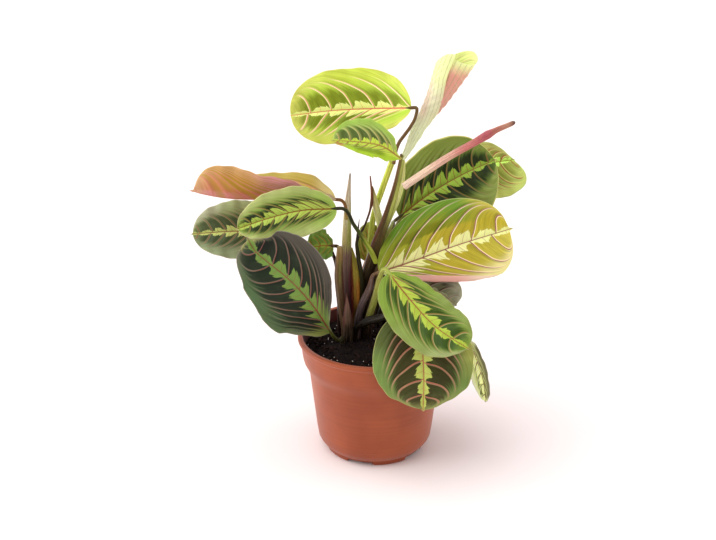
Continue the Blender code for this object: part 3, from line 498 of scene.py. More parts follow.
def add_piece(name, verts, faces, material, attributes, replaces=()):
    """A smooth-shaded mesh from points in millimetres, riding on the plant's one body."""
    mesh = bpy.data.meshes.new(name)
    mesh.from_pydata((np.asarray(verts) * M).tolist(), [], faces)
    for key, values in attributes.items():
        values = np.asarray(values, np.float32)
        kind = "FLOAT" if values.ndim == 1 else "FLOAT_VECTOR"
        layer = mesh.attributes.new(key, kind, "POINT")
        layer.data.foreach_set("value" if values.ndim == 1 else "vector", values.ravel())
    mesh.shade_smooth()
    mesh.materials.append(material)
    piece = add_object(name, mesh)
    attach(piece, BODY)
    if replaces:
        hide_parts(*replaces)
    return piece


# ---------------- material arithmetic


def plug(tree, target, item):
    """Links a socket or a Num to the target, or sets the target to a plain value."""
    if isinstance(item, Num):
        item = item.socket
    if isinstance(item, bpy.types.NodeSocket):
        tree.links.new(item, target)
    elif isinstance(item, tuple) and len(item) == 3 and len(target.default_value) == 4:
        target.default_value = (*item, 1.0)
    else:
        target.default_value = item


class Num:
    """A number inside a node tree. Arithmetic on it adds Math nodes."""

    def __init__(self, tree, socket):
        self.tree = tree
        self.socket = socket

    def math(self, operation, *others):
        node = self.tree.nodes.new("ShaderNodeMath")
        node.operation = operation
        for target, item in zip(node.inputs, (self,) + others):
            plug(self.tree, target, item)
        return Num(self.tree, node.outputs[0])

    __add__ = partialmethod(math, "ADD")
    __sub__ = partialmethod(math, "SUBTRACT")
    __mul__ = partialmethod(math, "MULTIPLY")
    fract = partialmethod(math, "FRACT")
    floor = partialmethod(math, "FLOOR")
    size = partialmethod(math, "ABSOLUTE")
    low = partialmethod(math, "MINIMUM")

    def flip(self):
        """One minus the number."""
        return self * -1.0 + 1.0

    def step(self, start, end):
        """Eases from 0 to 1 as the number goes from start to end."""
        node = self.tree.nodes.new("ShaderNodeMapRange")
        node.interpolation_type = "SMOOTHSTEP"
        for name, item in (("Value", self), ("From Min", start), ("From Max", end)):
            plug(self.tree, node.inputs[name], item)
        return Num(self.tree, node.outputs[0])

    def window(self, rise=None, fall=None):
        """One between the rise and the fall, easing at both; None leaves that side open."""
        inside = self * 0.0 + 1.0
        if rise:
            inside = inside * self.step(*rise)
        if fall:
            inside = inside * self.step(fall[1], fall[0])
        return inside


class Shade:
    """A material's node tree with the few node kinds used here."""

    def __init__(self, name):
        self.material = bpy.data.materials.new(name)
        self.material.use_nodes = True
        self.tree = self.material.node_tree
        self.surface = self.tree.nodes["Principled BSDF"]
        self.output = self.tree.nodes["Material Output"]

    def node(self, kind, inputs, **settings):
        """A new node with its inputs, by name or index, and its settings."""
        node = self.tree.nodes.new(kind)
        for key, value in settings.items():
            setattr(node, key, value)
        for key, item in inputs.items():
            plug(self.tree, node.inputs[key], item)
        return node

    def split(self, vector):
        node = self.node("ShaderNodeSeparateXYZ", {0: vector})
        return [Num(self.tree, out) for out in node.outputs]

    def attribute(self, name):
        """Three numbers stored with the mesh."""
        return self.split(self.node("ShaderNodeAttribute", {}, attribute_name=name).outputs["Vector"])

    def single(self, name):
        """One number stored with the mesh."""
        return Num(self.tree, self.node("ShaderNodeAttribute", {}, attribute_name=name).outputs["Fac"])

    def noise(self, place, detail=2.0, rough=0.5, scale=1.0):
        """Noise around one half, from about 0.2 to 0.8, at a socket or at three numbers."""
        if isinstance(place, tuple):
            place = self.node("ShaderNodeCombineXYZ", dict(enumerate(place))).outputs[0]
        inputs = {"Vector": place, "Scale": scale, "Detail": detail, "Roughness": rough}
        return Num(self.tree, self.node("ShaderNodeTexNoise", inputs).outputs["Fac"])

    def speckle(self, place, scale, detail=2.0, rough=0.5):
        """Noise over the three numbers of a place, each times the scale."""
        return self.noise(tuple(part * scale for part in place), detail, rough)

    def luck(self, number):
        """Three random numbers from 0 to 1 for each whole number."""
        node = self.node("ShaderNodeTexWhiteNoise", {"W": number}, noise_dimensions="1D")
        return self.split(node.outputs["Color"])

    def mix(self, share, first, second):
        """The first colour where share is 0, the second where it is 1."""
        return self.node("ShaderNodeMix", {0: share, 6: first, 7: second}, data_type="RGBA").outputs[2]

    def brighten(self, colour, factor):
        node = self.node("ShaderNodeVectorMath", {0: colour, "Scale": factor}, operation="SCALE")
        return node.outputs[0]

    def paint_zones(self, colour, zones, along, across, tone):
        """Lays each zone's colour over what is there, in the order of the list."""
        for code, amount, *edges in zones:
            here = along.window(*edges[:2]) * across.window(*edges[2:])
            colour = self.mix(here * amount, colour, tint(code, tone))
        return colour

    def finish(self, colour, rough, shine, height=None, distance=0.0, strength=1.0):
        """Sets the surface's colour, roughness, shine and bumps, and hands over the material."""
        inputs = {"Base Color": colour, "Roughness": rough, "Specular IOR Level": shine}
        if height:
            bump = {"Strength": strength, "Distance": distance, "Height": height}
            inputs["Normal"] = self.node("ShaderNodeBump", bump).outputs[0]
        for key, item in inputs.items():
            plug(self.tree, self.surface.inputs[key], item)
        return self.material

    def let_light_through(self, colour, share):
        """Adds a share of light that passes through a thin leaf."""
        back = self.node("ShaderNodeBsdfTranslucent", {"Color": colour}).outputs[0]
        both = self.node("ShaderNodeMixShader", {0: share, 1: self.surface.outputs[0], 2: back})
        plug(self.tree, self.output.inputs["Surface"], both.outputs[0])


# ---------------- leaf material

RIGHT_SHIFT = 0.12  # how much nearer the base the right half's veins lie, as a share of their spacing
# Offsets in mm of the pale line on one side of each vein, partly a painted highlight, and of the painted
# crease shade on its other side.
HALO_HIGHLIGHT_SHIFT = 0.3
CREASE_SHADE_SHIFT = 0.8
STREAK = 0.95
LEAF_ROUGH = 0.45


def leaf_places(sh, seed):
    """Where a point lies on its blade and between its veins, with noises that follow the veins."""
    m = SimpleNamespace()
    m.phase, m.x, m.share = sh.attribute("vein")
    m.along, m.gap, m.edge = sh.attribute("spot")
    m.out = m.x.size()
    side = m.x.step(-0.01, 0.01)
    m.signed = m.share * (side * 2.0 - 1.0)
    layer = side + seed
    wander = sh.noise((m.x * 0.05, m.along * 4.0, layer), 1.0) - 0.5
    q = m.phase + side * RIGHT_SHIFT + wander * 0.3
    m.f = q.fract()
    m.near = m.f.low(m.f.flip()) * m.gap
    m.crowd = m.gap.step(1.0, 3.5)
    m.luck = sh.luck(q.floor() + side * 37.0 + seed * 5.3)
    m.grain = sh.noise((q * 6.0, m.out * 0.05, layer), 3.0, 0.65)
    m.fine = sh.noise((q * 26.0, m.out * 0.1, layer), 2.0, 0.6)
    m.cloud = sh.noise((m.x * 0.09, m.along * 7.0, seed + 3.0))
    m.ragged = sh.noise((q * 8.0, m.out * 0.3, layer + 7.0), 2.0, 0.7) - 0.5
    m.worn = sh.noise((q, m.out * 0.2, layer + 11.0))
    m.streaky_along = m.along + (m.grain - 0.5) * 0.12
    m.streaky_across = m.signed + (m.grain - 0.5) * 0.16
    return m


def band_reach(m, look):
    """How far the pale band reaches: one leaning, toothed lobe between each two veins."""
    body = m.along.step(0.02, 0.25) * m.along.step(1.0, 0.5)
    start = m.luck[0] * 0.14
    stop = m.luck[1] * 0.2 + 0.66
    lobe = m.f.step(start, start + 0.2) * m.f.step(stop + 0.16, stop - 0.12)
    lean = (m.f - 0.5) * (m.luck[2] * 0.5 + 0.35)
    teeth = (m.f * 3.4 + m.luck[0]).fract()
    full = (body * 0.75 + 0.25) * look["reach"]
    reach = full * (lobe * (lean + teeth * 0.24 + m.luck[1] * 0.2 + 0.42) + 0.24)
    return reach + m.ragged * look["ragged"] + 0.3


def dark_blotch(m, look):
    """Dark patch between two veins, brushed out towards the margin."""
    between = m.near.step(look["dark_gap"] * 0.5, look["dark_gap"] * 2.0 + 0.5)
    end = m.grain * 0.7 + m.luck[1] * 0.15 + (look["dark_to"] - 0.42)
    blotch = m.share.step(end + 0.12, end - 0.14) * between
    blotch = blotch * m.along.step(0.0, 0.14) * m.along.step(1.0, 0.86) * look["dark_share"]
    return blotch * (m.cloud * 0.8 + 0.6).low(1.0)


def side_veins(m, look):
    """A vein's dark line, a pale line on one side (own colour and painted highlight) and painted crease shade
    on the other.
    """
    half = m.share * (-0.4 * look["vein_half"]) + look["vein_half"]
    fade = m.share.step(look["vein_to"], look["vein_to"] - 0.3) * m.along.step(1.0, 0.93)
    fade = fade * m.phase.step(-1.2, -0.5)
    core = m.near.step(half + 0.15, half - 0.15) * m.crowd * fade * (m.worn * 1.2 + 0.35).low(1.0)
    offset = ((m.f + 0.5).fract() - 0.5) * m.gap
    halo_highlight = (offset - HALO_HIGHLIGHT_SHIFT).size().step(half + look["halo_highlight_half"], half) * m.crowd * fade
    painted_crease_shade = (offset + CREASE_SHADE_SHIFT).size().step(0.9, 0.1) * m.crowd * fade
    return core, halo_highlight, painted_crease_shade


def upper_colour(sh, m, look, core, halo_highlight, painted_crease_shade, rib, rib_halo):
    """Colours of the upper face, laid over one another from the ground colour to the veins."""
    tone = look["tone"]
    hue = {key: tint(code, tone) for key, code in zip(FACE_COLOURS, look["colours"].split())}
    reach = band_reach(m, look)
    band = m.out.step(reach + 0.3, reach - 0.3) * m.along.step(0.0, 0.05) * m.along.step(1.0, 0.94)
    sub = (m.f - 0.5 - m.luck[2] * 0.08).size() * m.gap
    sub = sub.step(0.32, 0.08) * m.out.step(reach + 1.5, reach * 0.6) * m.crowd * look["sub"]
    far = m.share.step(0.4, 0.95) * 0.85 + m.cloud * 0.3 - 0.1
    colour = sh.mix(far, hue["mid"], hue["margin"])
    colour = sh.paint_zones(colour, look["zones"], m.streaky_along, m.streaky_across, tone)
    colour = sh.mix(dark_blotch(m, look), colour, hue["dark"])
    # Painted shade: the colour is darkened in the crease beside each vein.
    colour = sh.brighten(colour, (m.grain - 0.5) * STREAK + 1.0 - painted_crease_shade * 0.25)
    # The pale line beside each vein: partly its own pale colour, partly a painted highlight.
    colour = sh.mix(halo_highlight * look["halo_highlight_share"], colour, hue["halo_highlight"])
    colour = sh.mix(band, colour, hue["band"])
    colour = sh.mix(rib_halo * 0.5, colour, hue["band"])
    colour = sh.mix(sub, colour, hue["vein"])
    vein = sh.mix(m.share.step(0.25, 0.8), hue["vein"], hue["vein_far"])
    colour = sh.mix(core * 0.9, colour, vein)
    colour = sh.mix(rib * 0.85, colour, hue["vein"])
    colour = sh.brighten(colour, (m.fine - 0.5) * 0.5 + 1.0)
    return sh.mix(m.edge.step(look["rim_mm"], 0.2) * 0.6, colour, tint(look["rim"], tone))


def under_colour(sh, m, look, core, rib):
    """Colours of the lower face."""
    tone = look["tone"]
    # Leaves that show only their upper face have an underside without that face's tone.
    plain = tone if look["under_zones"] else LOOK["tone"]
    near, far, vein = (tint(code, plain) for code in
                       (look["under"], look["colours"].split()[-1], look["under_vein"]))
    colour = sh.mix(m.share.step(0.3, 1.0) * 0.6, near, far)
    colour = sh.brighten(colour, (m.grain - 0.5) * 0.5 + 1.0)
    colour = sh.paint_zones(colour, look["under_zones"], m.streaky_along, m.streaky_across, tone)
    if look["under_band"]:
        strip = m.f.step(0.1, 0.45) * m.f.step(1.0, 0.6) * m.luck[1].step(0.1, 0.7)
        colour = sh.mix(strip * 0.8, colour, tint(look["under_band"], tone))
    if look["lines"]:
        line = ((m.signed + m.grain * 0.05) * look["lines"]).fract()
        line = line.low(line.flip()).step(0.16, 0.04) * (m.cloud * 0.6 + 0.1)
        colour = sh.mix(line, colour, tint(look["line_colour"], tone))
    return sh.mix(rib, sh.mix(core, colour, vein), vein)


def leaf_material(name, look, seed):
    sh = Shade(name)
    m = leaf_places(sh, seed)
    core, halo_highlight, painted_crease_shade = side_veins(m, look)
    rib_half = m.along * -0.35 + 0.6
    rib = m.out.step(rib_half + 0.15, rib_half - 0.2)
    rib_halo = m.out.step(rib_half + 1.1, rib_half)
    above = upper_colour(sh, m, look, core, halo_highlight, painted_crease_shade, rib, rib_halo)
    colour = sh.mix(sh.single("upper"), under_colour(sh, m, look, core, rib), above)
    height = core * -0.5 + m.fine * 0.4 + rib * -0.5
    sh.let_light_through(colour, look["glow"])
    return sh.finish(colour, m.grain * 0.2 + (LEAF_ROUGH - 0.1), look["shine"], height, 0.0004, 0.6)


# ---------------- leaf geometry

# The rolled young leaf: its axis, the radius along it, where the outer flap's edge lies along it in
# degrees from the front, and how far the rim is raised and pushed out at an angle behind that edge.
FUNNEL_AXIS = [(19.5, -1.3, 238), (24, 0, 246), (28.5, 1, 256), (36, 2, 269), (42.5, 3, 279.5),
               (50, 4.5, 294), (58, 5.5, 312)]
FUNNEL_RADII = ((0, 1.6), (0.1, 2.4), (0.25, 3.8), (0.45, 5.6), (0.6, 7.6), (0.8, 10.2), (1, 12.2))
FUNNEL_FLAP = ((0, 80), (0.35, 80), (0.55, 31), (0.78, -14), (1, -16))
FUNNEL_RIM = ((-80, 0), (0, 3), (30, 4), (60, -1), (85, -8), (135, -12), (180, 1), (215, 8), (250, 8),
              (280, 3), (320, 0), (395, 0))
FUNNEL_FLARE = ((180, 0), (225, 1), (270, 2.5), (315, 0.5), (345, -0.8))
FUNNEL_HALF = 30.0
FUNNEL_INNER_TURN = 215
FUNNEL_ROWS = 90
FUNNEL_COLS = 121

GRID_MM = 0.8  # distance between the points of a blade's grid
BLADE_T = 0.45

# The grid of points of a blade. For each point: the vein phase, the distance and share of the width
# from the midrib, the share of the length, the distance between veins and that to the margin.
Sheet = namedtuple("Sheet", "grid phase x share u gap edge")


def ramp(value, width):
    """From 0 to 1 as the value goes from 0 to the width."""
    return np.clip(value / width, 0, 1)


def half_width(u, half, tip):
    """Width of one half of a blade at shares u of its length: rounded base, small pointed tip."""
    body = np.clip(u / (1 - tip), 0, 1)
    low = np.where(u < 1 - tip, 0.045, 0.045 * np.clip((1 - u) / max(tip, 1e-6), 0.08, 1))
    rising = np.clip(1 - np.clip(1 - body / half.peak, 0, 1) ** 2.2, 0, 1) ** half.shoulder
    falling = np.clip(1 - np.clip((body - half.peak) / (1 - half.peak), 0, 1) ** 2.2, 0, 1) ** half.point
    share = np.where(body < half.peak, rising, falling)
    return half.width * (low + (1 - low) * share)


def fold_under(hem, middle, u):
    """Extra angle of a folded hem across one half of a blade."""
    fold, start, end, u_from, u_to = hem
    place = float(np.clip((u - u_from) / (u_to - u_from), 0, 1))
    amount = min(1.0, 6 * place) * min(1.0, 8 * (1 - place))
    if amount == 0:
        return 0.0
    start, end = (edge + (1.02 - edge) * place ** 2 for edge in (start, end))
    return math.radians(fold) * amount * np.clip((middle - start) / (end - start), 0, 1)


def half_row(leaf, half, side, u, width, steps, hem):
    """Places across and off the blade, from the midrib to the margin of one half."""
    rise = math.radians(half.rise + (half.rise_tip - half.rise) * u)
    curl = math.radians(half.curl + (half.curl_tip - half.curl) * u)
    middle = (np.arange(steps) + 0.5) / steps
    turn = middle if leaf.rolled else (middle * max(width / half.width, 0.2)) ** 1.5
    angle = rise + curl * turn
    if hem and side > 0:
        angle = angle + fold_under(hem, middle, u)
    return [np.cumsum(part(angle))[:, None] * width / steps for part in (np.cos, np.sin)]


def shift_ahead(look, side, u, spread):
    """How far the margin runs ahead of the midrib: fanned out near the tip, lobed back at the base."""
    index = 0 if side > 0 else 1
    fan = look["fan"][index] * spread * (1.5 - spread) * np.clip((u - 0.4) / 0.5, 0, 1)
    lobe = look["lobe"][index] * spread * np.clip(1 - u / 0.3, 0, 1)
    return fan - lobe


def vein_phase(y, share, x, length, look):
    """Counts the veins along the midrib; each vein is a line of one whole number."""
    phase = np.zeros_like(y)
    for half, (line, bow) in zip((x > 0, x <= 0), look["sweep"]):
        lead = line * share + bow * share ** 2.7
        start = y - length * lead
        pull = 0.85 * lead / (line + bow)
        near_tip = (y - pull * length) / np.maximum(1 - pull, 0.05)
        crossing = length * (1 - (line + bow) / 0.85)
        phase = np.where(half, np.where(start > crossing, near_tip, start), phase)
    return phase / look["spacing"]


def blade_surface(leaf, look):
    """The sheet of an open blade, built row by row from its midrib."""
    length = run_length(smooth_path(leaf.midrib, np.linspace(0, 1, 60)))[-1]
    rows = max(24, int(length / GRID_MM)) + 1
    steps = max(10, int(max(leaf.right.width, leaf.left.width) / GRID_MM))
    even = np.arange(rows) / (rows - 1)
    shares = 0.45 * even + 0.55 * (1 - np.cos(np.pi * even)) / 2
    midrib = smooth_path(leaf.midrib, shares)
    tangents = np.gradient(midrib, axis=0)
    t = np.arange(1, steps + 1) / steps
    grid = np.zeros((rows, 2 * steps + 1, 3))
    grid[:, steps] = midrib
    x = np.zeros((rows, 2 * steps + 1))
    sides = ((1, leaf.right, slice(steps + 1, None)), (-1, leaf.left, slice(steps - 1, None, -1)))
    width = {side: half_width(shares, half, look["tip"]) for side, half, _ in sides}
    for i, (u, origin) in enumerate(zip(shares, midrib)):
        tangent = unit(tangents[i])
        facing = unit(unit(leaf.face) * (1 - u) + unit(leaf.face_tip or leaf.face) * u)
        across = unit(np.cross(tangent, facing))
        normal = np.cross(across, tangent)
        for side, half, columns in sides:
            w = width[side][i]
            out, lift = half_row(leaf, half, side, u, w, steps, look["hem"])
            ahead = shift_ahead(look, side, u, w / half.width) * t[:, None] ** 1.3
            grid[i, columns] = origin + out * side * across + lift * normal + tangent * ahead
            x[i, columns] = side * t * w
    wide = np.where(x > 0, width[1][:, None], width[-1][:, None])
    share = np.abs(x) / wide
    u = np.repeat(shares[:, None], x.shape[1], axis=1)
    y = u * length
    phase = vein_phase(y, share, x, length, look)
    dq_y = np.gradient(phase, axis=0) / np.maximum(np.gradient(y, axis=0), 1e-6)
    dq_x = np.gradient(phase, axis=1) / np.maximum(np.abs(np.gradient(x, axis=1)), 1e-6)
    gap = 1 / np.maximum(np.hypot(dq_x, dq_y), 1e-3)
    return Sheet(grid, phase, x, share, u, gap, (1 - share) * wide)


def funnel_surface(look):
    """The young leaf that is still rolled up: a spiral sheet round its axis, flared at the top."""
    shares = np.linspace(0, 1, FUNNEL_ROWS)
    signed = np.linspace(-1, 1, FUNNEL_COLS)
    axis = smooth_path(FUNNEL_AXIS, shares)
    length = run_length(axis)[-1]
    radii = curve(FUNNEL_RADII, shares)
    flap = smoothed(curve(FUNNEL_FLAP, shares), 8)
    top = unit(axis[-1] - axis[-2])
    grid = np.zeros((FUNNEL_ROWS, FUNNEL_COLS, 3))
    for i, (h, tangent) in enumerate(zip(shares, np.gradient(axis, axis=0))):
        tangent = unit(tangent)
        side = unit(np.cross((0, 1, 0), tangent))
        front = np.cross(side, tangent)
        turn = -180 - signed * np.where(signed < 0, flap[i] + 180, FUNNEL_INNER_TURN)
        angle = np.radians(turn)
        lift = smoothed(curve(FUNNEL_RIM, -turn), 6) * h ** 3
        radius = radii[i] - 0.5 * signed * min(1, 4 * h) + curve(FUNNEL_FLARE, -turn) * h ** 4
        ring = np.sin(angle)[:, None] * side + np.cos(angle)[:, None] * front
        grid[i] = axis[i] + radius[:, None] * ring + lift[:, None] * top
    x = np.tile(signed * FUNNEL_HALF, (FUNNEL_ROWS, 1))
    share = np.abs(x) / FUNNEL_HALF
    u = np.repeat(shares[:, None], FUNNEL_COLS, axis=1)
    phase = (u * length - FUNNEL_HALF * share) / look["spacing"]
    gap = np.full_like(u, look["spacing"])
    edge = np.minimum((1 - share) * FUNNEL_HALF, (1 - u) * length)
    return Sheet(grid, phase, x, share, u, gap, edge)


def grid_normals(grid):
    normals = np.cross(np.gradient(grid, axis=1), np.gradient(grid, axis=0))
    return normals / np.maximum(np.linalg.norm(normals, axis=2, keepdims=True), 1e-9)


def relief(sheet, look, seed):
    """Height of the upper face: sunk veins, quilted strips between them, a wavy margin."""
    x, share, u = sheet.x, sheet.share, sheet.u
    q = sheet.phase + RIGHT_SHIFT * (x > 0)
    f = q - np.floor(q)
    near = np.minimum(f, 1 - f) * sheet.gap
    ends = ramp(u, 0.08) * ramp(1 - u, 0.08)
    strip = ramp(share, 0.15) * ramp(1 - share, 0.25) * ends * ramp(sheet.gap - 1.5, 4)
    quilt = look["quilt"] * (np.cos(2 * np.pi * (f - 0.5)) * 0.5 + 0.5) * strip
    groove = -0.3 * np.exp(-(near / 1.2) ** 2) * strip
    rib = -0.8 * np.exp(-(x / 1.3) ** 2) * ends
    lean = 2.0 * np.pi * (u * 3.3 + 0.37 * seed) + np.where(x > 0, 0.0, 2.1)
    wave = look["wave"] * (np.sin(lean) + 0.5 * np.sin(2.3 * lean + seed)) * share ** 2.5 * ends
    return quilt + groove + rib + wave


def sheet_faces(rows, cols):
    """Faces of a closed sheet: an upper grid, a lower grid and the margin between them."""
    lower = rows * cols
    faces = []
    for a, b, c, d in grid_quads(rows, cols):
        faces.append((a, b, c, d))
        faces.append((lower + a, lower + d, lower + c, lower + b))
    edge = list(range(cols))
    edge += [i * cols + cols - 1 for i in range(1, rows)]
    edge += [(rows - 1) * cols + j for j in range(cols - 2, -1, -1)]
    edge += [i * cols for i in range(rows - 2, 0, -1)]
    for a, b in zip(edge, edge[1:] + edge[:1]):
        faces.append((b, a, lower + a, lower + b))
    return faces


def build_leaf(name, leaf, seed):
    """A closed sheet with sunk veins above and a raised midrib below."""
    look = {**LOOK, **LOOKS[name]}
    sheet = funnel_surface(look) if name == "leaf_funnel" else blade_surface(leaf, look)
    normals = grid_normals(sheet.grid)
    height = relief(sheet, look, seed)[..., None]
    under_rib = (0.9 * np.exp(-sheet.x ** 2) * (1 - 0.7 * sheet.u))[..., None]
    half_thick = BLADE_T / 2 * np.clip(0.35 + sheet.edge / 1.5, 0.35, 1)[..., None]
    upper = sheet.grid + normals * (height + half_thick)
    lower = sheet.grid + normals * (height - half_thick - under_rib)
    verts = np.concatenate([upper.reshape(-1, 3), lower.reshape(-1, 3)])
    twice = lambda *parts: np.tile(np.stack([part.reshape(-1) for part in parts], axis=-1), (2, 1))
    attributes = {
        "vein": twice(sheet.phase, sheet.x, sheet.share),
        "spot": twice(sheet.u, sheet.gap, sheet.edge),
        "upper": np.repeat([1.0, 0.0], sheet.x.size),
    }
    add_piece("blade_" + name, verts, sheet_faces(*sheet.x.shape), leaf_material(name, look, seed),
              attributes, (name,))


# ---------------- stalks

TUBE_SIDES = 28
RING_MM = 1.2
EXTRA_SEED = 40.0


def knee_points(leaf):
    """The end of a petiole: in line with the blade's midrib, then under its first few millimetres."""
    start, second = smooth_path(leaf.midrib, (0.0, 0.04))
    direction = unit(second - start)
    down = -unit(np.cross(np.cross(direction, unit(leaf.face)), direction))
    ends = (start - direction * KNEE, start - direction * 0.3, start + direction * 5.0 + down * 0.9)
    return [(*point, radius) for point, radius in zip(ends, (KNEE_R, KNEE_R, 0.5))]


def stalk_course(name, stalk):
    """Points along a stalk, the radius at each, and its length."""
    if name.startswith("petiole_"):
        stalk = stalk + knee_points(LEAVES[name.replace("petiole_", "leaf_")])
    stalk = np.array(stalk, float)
    run = run_length(stalk[:, :3])
    stations = np.linspace(0, 1, max(12, int(run[-1] / RING_MM)))
    radii = np.interp(stations, run / run[-1], stalk[:, 3])
    return smooth_path(stalk[:, :3], stations), radii, run[-1]


def stalk_material(name, look, seed):
    sh = Shade(name)
    length, facing, _ = sh.attribute("around")
    place, c, s = sh.attribute("tube")
    streak = sh.noise((c * 2.2, s * 2.2, length * 0.025 + seed), 3.0, 0.6)
    fine = sh.noise((c * 12.0, s * 12.0, length * 0.06 + seed), 2.0, 0.6)
    spots = sh.noise((c * 3.0, s * 3.0, length * 0.5 + seed))
    along = place + (streak - 0.5) * 0.16
    across = facing + (streak - 0.5) * 0.8
    tone = look["tone"]
    stops = [stop.split() for stop in look["along"].split(", ")]
    stops = [(float(percent) / 100, tint(code, tone)) for percent, code in stops]
    colour = stops[0][1]
    for (before, _), (at, hue) in zip(stops, stops[1:]):
        colour = sh.mix(along.step(before, at), colour, hue)
    colour = sh.paint_zones(colour, look["zones"], along, across, tone)
    colour = sh.mix(fine.step(0.48, 0.64) * look["fibre_share"], colour, tint(look["fibre"], tone))
    colour = sh.brighten(colour, (streak - 0.5) * 1.6 + (spots - 0.5) * 0.6 + 1.05)
    return sh.finish(colour, fine * 0.2 + (look["rough"] - 0.1), 0.2, fine + streak, 0.0004, 0.6)


def build_stalk(name, stalk, seed, slot=None):
    """A ridged tube along a stalk's course; one called without a slot name replaces the CAD node of its own
    name.
    """
    path, radii, length = stalk_course(name, stalk)
    look = {**STALK_LOOK, **STALK_LOOKS[name]}
    ridges, flat = look["ridges"], look["flat"]
    tangents = np.gradient(path, axis=0)
    side = unit(np.cross(tangents[0], (0.3, 1.0, 0.2)))
    verts, tube, around = [], [], []
    rings = len(path)
    for k, (point, tangent, radius) in enumerate(zip(path, tangents, radii)):
        tangent = unit(tangent)
        side = unit(side - tangent * side.dot(tangent))
        other = np.cross(tangent, side)
        share = k / (rings - 1)
        for angle in 2 * np.pi * np.arange(TUBE_SIDES) / TUBE_SIDES:
            c, s = math.cos(angle), math.sin(angle)
            ripple = 1 + ridges * (math.sin(3 * angle + 0.05 * k + seed) + 0.8 * math.sin(8 * angle + seed))
            direction = c * side + s * other
            verts.append(point + radius * ripple * (c * side + flat * s * other))
            tube.append((share, c, s))
            around.append((length * share, direction[0], direction[2]))
    first_ring = tuple(range(TUBE_SIDES))
    last_ring = tuple((rings - 1) * TUBE_SIDES + j for j in first_ring)
    faces = [first_ring[::-1], last_ring] + grid_quads(rings, TUBE_SIDES, closed=True)
    add_piece("stalk_" + name, verts, faces, stalk_material(name, look, seed),
              {"tube": tube, "around": around}, () if slot else (name,))


# ---------------- pot

POT_SEGMENTS = 288
FEET = 5
NOTCH_H = 3.6
NOTCH_AT = 252.0  # degrees; the notches' half width and the slope at their ends are in degrees too
NOTCH_HALF = 16.0
NOTCH_SLOPE = 1.5
SHARP_ANGLE = 50

# Radius and height of the pot's outline, from its underside to the rim's top, then down inside it.
POT_OUTSIDE = [
    (0.01, 0.0), (28.0, 0.0), (30.0, 0.0), (38.0, 0.0), (38.5, 0.5), (38.5, 2.6), (38.7, 3.6),
    (40.2, 4.8), (42.0, 6.5), (43.5, 8.6), (44.6, 11.0), (45.6, 18.0), (50.9, 63.4), (51.6, 66.6),
    (52.7, 69.4), (54.0, 72.0), (55.2, 74.4), (55.9, 76.8), (56.6, 80.4), (57.5, 89.6), (57.7, 90.4),
    (58.3, 91.0), (59.4, 91.7), (59.9, 92.4), (60.0, 93.4), (59.8, 94.4), (59.2, 94.9), (58.2, 95.0),
    (56.4, 95.0)]
POT_INSIDE = [
    (55.9, 94.7), (55.7, 94.0), (55.0, 79.0), (53.0, 72.0), (49.2, 66.0), (43.0, 12.0), (37.5, 6.0),
    (0.01, 6.0)]
NOTCHED = {2: 1.0, 3: 1.0, 4: 0.93}  # the outline's points that the notches raise, and how far


def notch_lift(angle_deg):
    """How far the base ring is raised between the feet at an angle."""
    pitch = 360 / FEET
    off = abs((angle_deg - NOTCH_AT + pitch / 2) % pitch - pitch / 2)
    return NOTCH_H * float(np.clip((NOTCH_HALF - off) / NOTCH_SLOPE, 0, 1))


def pot_material():
    sh = Shade("pot")
    x, y, z = place = sh.attribute("place")
    spread = sh.speckle(place, 0.02, 3.0)
    grain = sh.speckle(place, 0.9, 3.0, 0.6)
    rings = sh.noise((x * 0.01, y * 0.01, z * 0.9))
    colour = sh.mix(spread.step(0.35, 0.65), tint("8c3c18"), tint("9c4820"))
    colour = sh.brighten(colour, (rings - 0.5) * 0.3 + (grain - 0.5) * 0.1 + 1.0)
    # Painted shade: the inside of the pot is coloured darker than the outside.
    colour = sh.mix(sh.single("inner"), colour, tint("5a2018"))
    colour = sh.mix(z.step(10.0, 2.0) * 0.35, colour, tint("8a3a20"))
    sh.surface.inputs["Sheen Weight"].default_value = 0.12
    return sh.finish(colour, grain * 0.15 + 0.42, 0.35, grain + rings, 0.0003, 0.25)


def build_pot():
    verts = []
    profile = POT_OUTSIDE + POT_INSIDE
    for index, (radius, height) in enumerate(profile):
        for angle in 2 * np.pi * np.arange(POT_SEGMENTS) / POT_SEGMENTS:
            raised = height + notch_lift(math.degrees(angle)) * NOTCHED.get(index, 0.0)
            verts.append((radius * math.cos(angle), radius * math.sin(angle), raised))
    # Marks the inside of the pot, which its material paints darker as painted shade.
    inner = np.repeat([0.0, 1.0], [len(POT_OUTSIDE) * POT_SEGMENTS, len(POT_INSIDE) * POT_SEGMENTS])
    bottom = tuple(range(POT_SEGMENTS))
    inside_floor = tuple((len(profile) - 1) * POT_SEGMENTS + s for s in bottom)
    faces = grid_quads(len(profile), POT_SEGMENTS, closed=True) + [bottom[::-1], inside_floor]
    pot = add_piece("nursery_pot", verts, faces, pot_material(), {"place": verts, "inner": inner},
                    ("pot",))
    pot.data.set_sharp_from_angle(angle=math.radians(SHARP_ANGLE))


# ---------------- soil

SOIL_Z = 86.0
SOIL_R = 54.4
SOIL_DEPTH = 12.0
SOIL_RINGS = 56
SOIL_SECTORS = 200
GRAINS_R = 52.5
GRAIN_SIDES = 6
GRAIN_TILTS = (0.62, 1.25, 1.88, 2.5)  # angles from a grain's pole to its rings of points


def soil_sag(radius):
    """The soil lies a little lower next to the pot."""
    return -1.8 * (radius / SOIL_R) ** 6


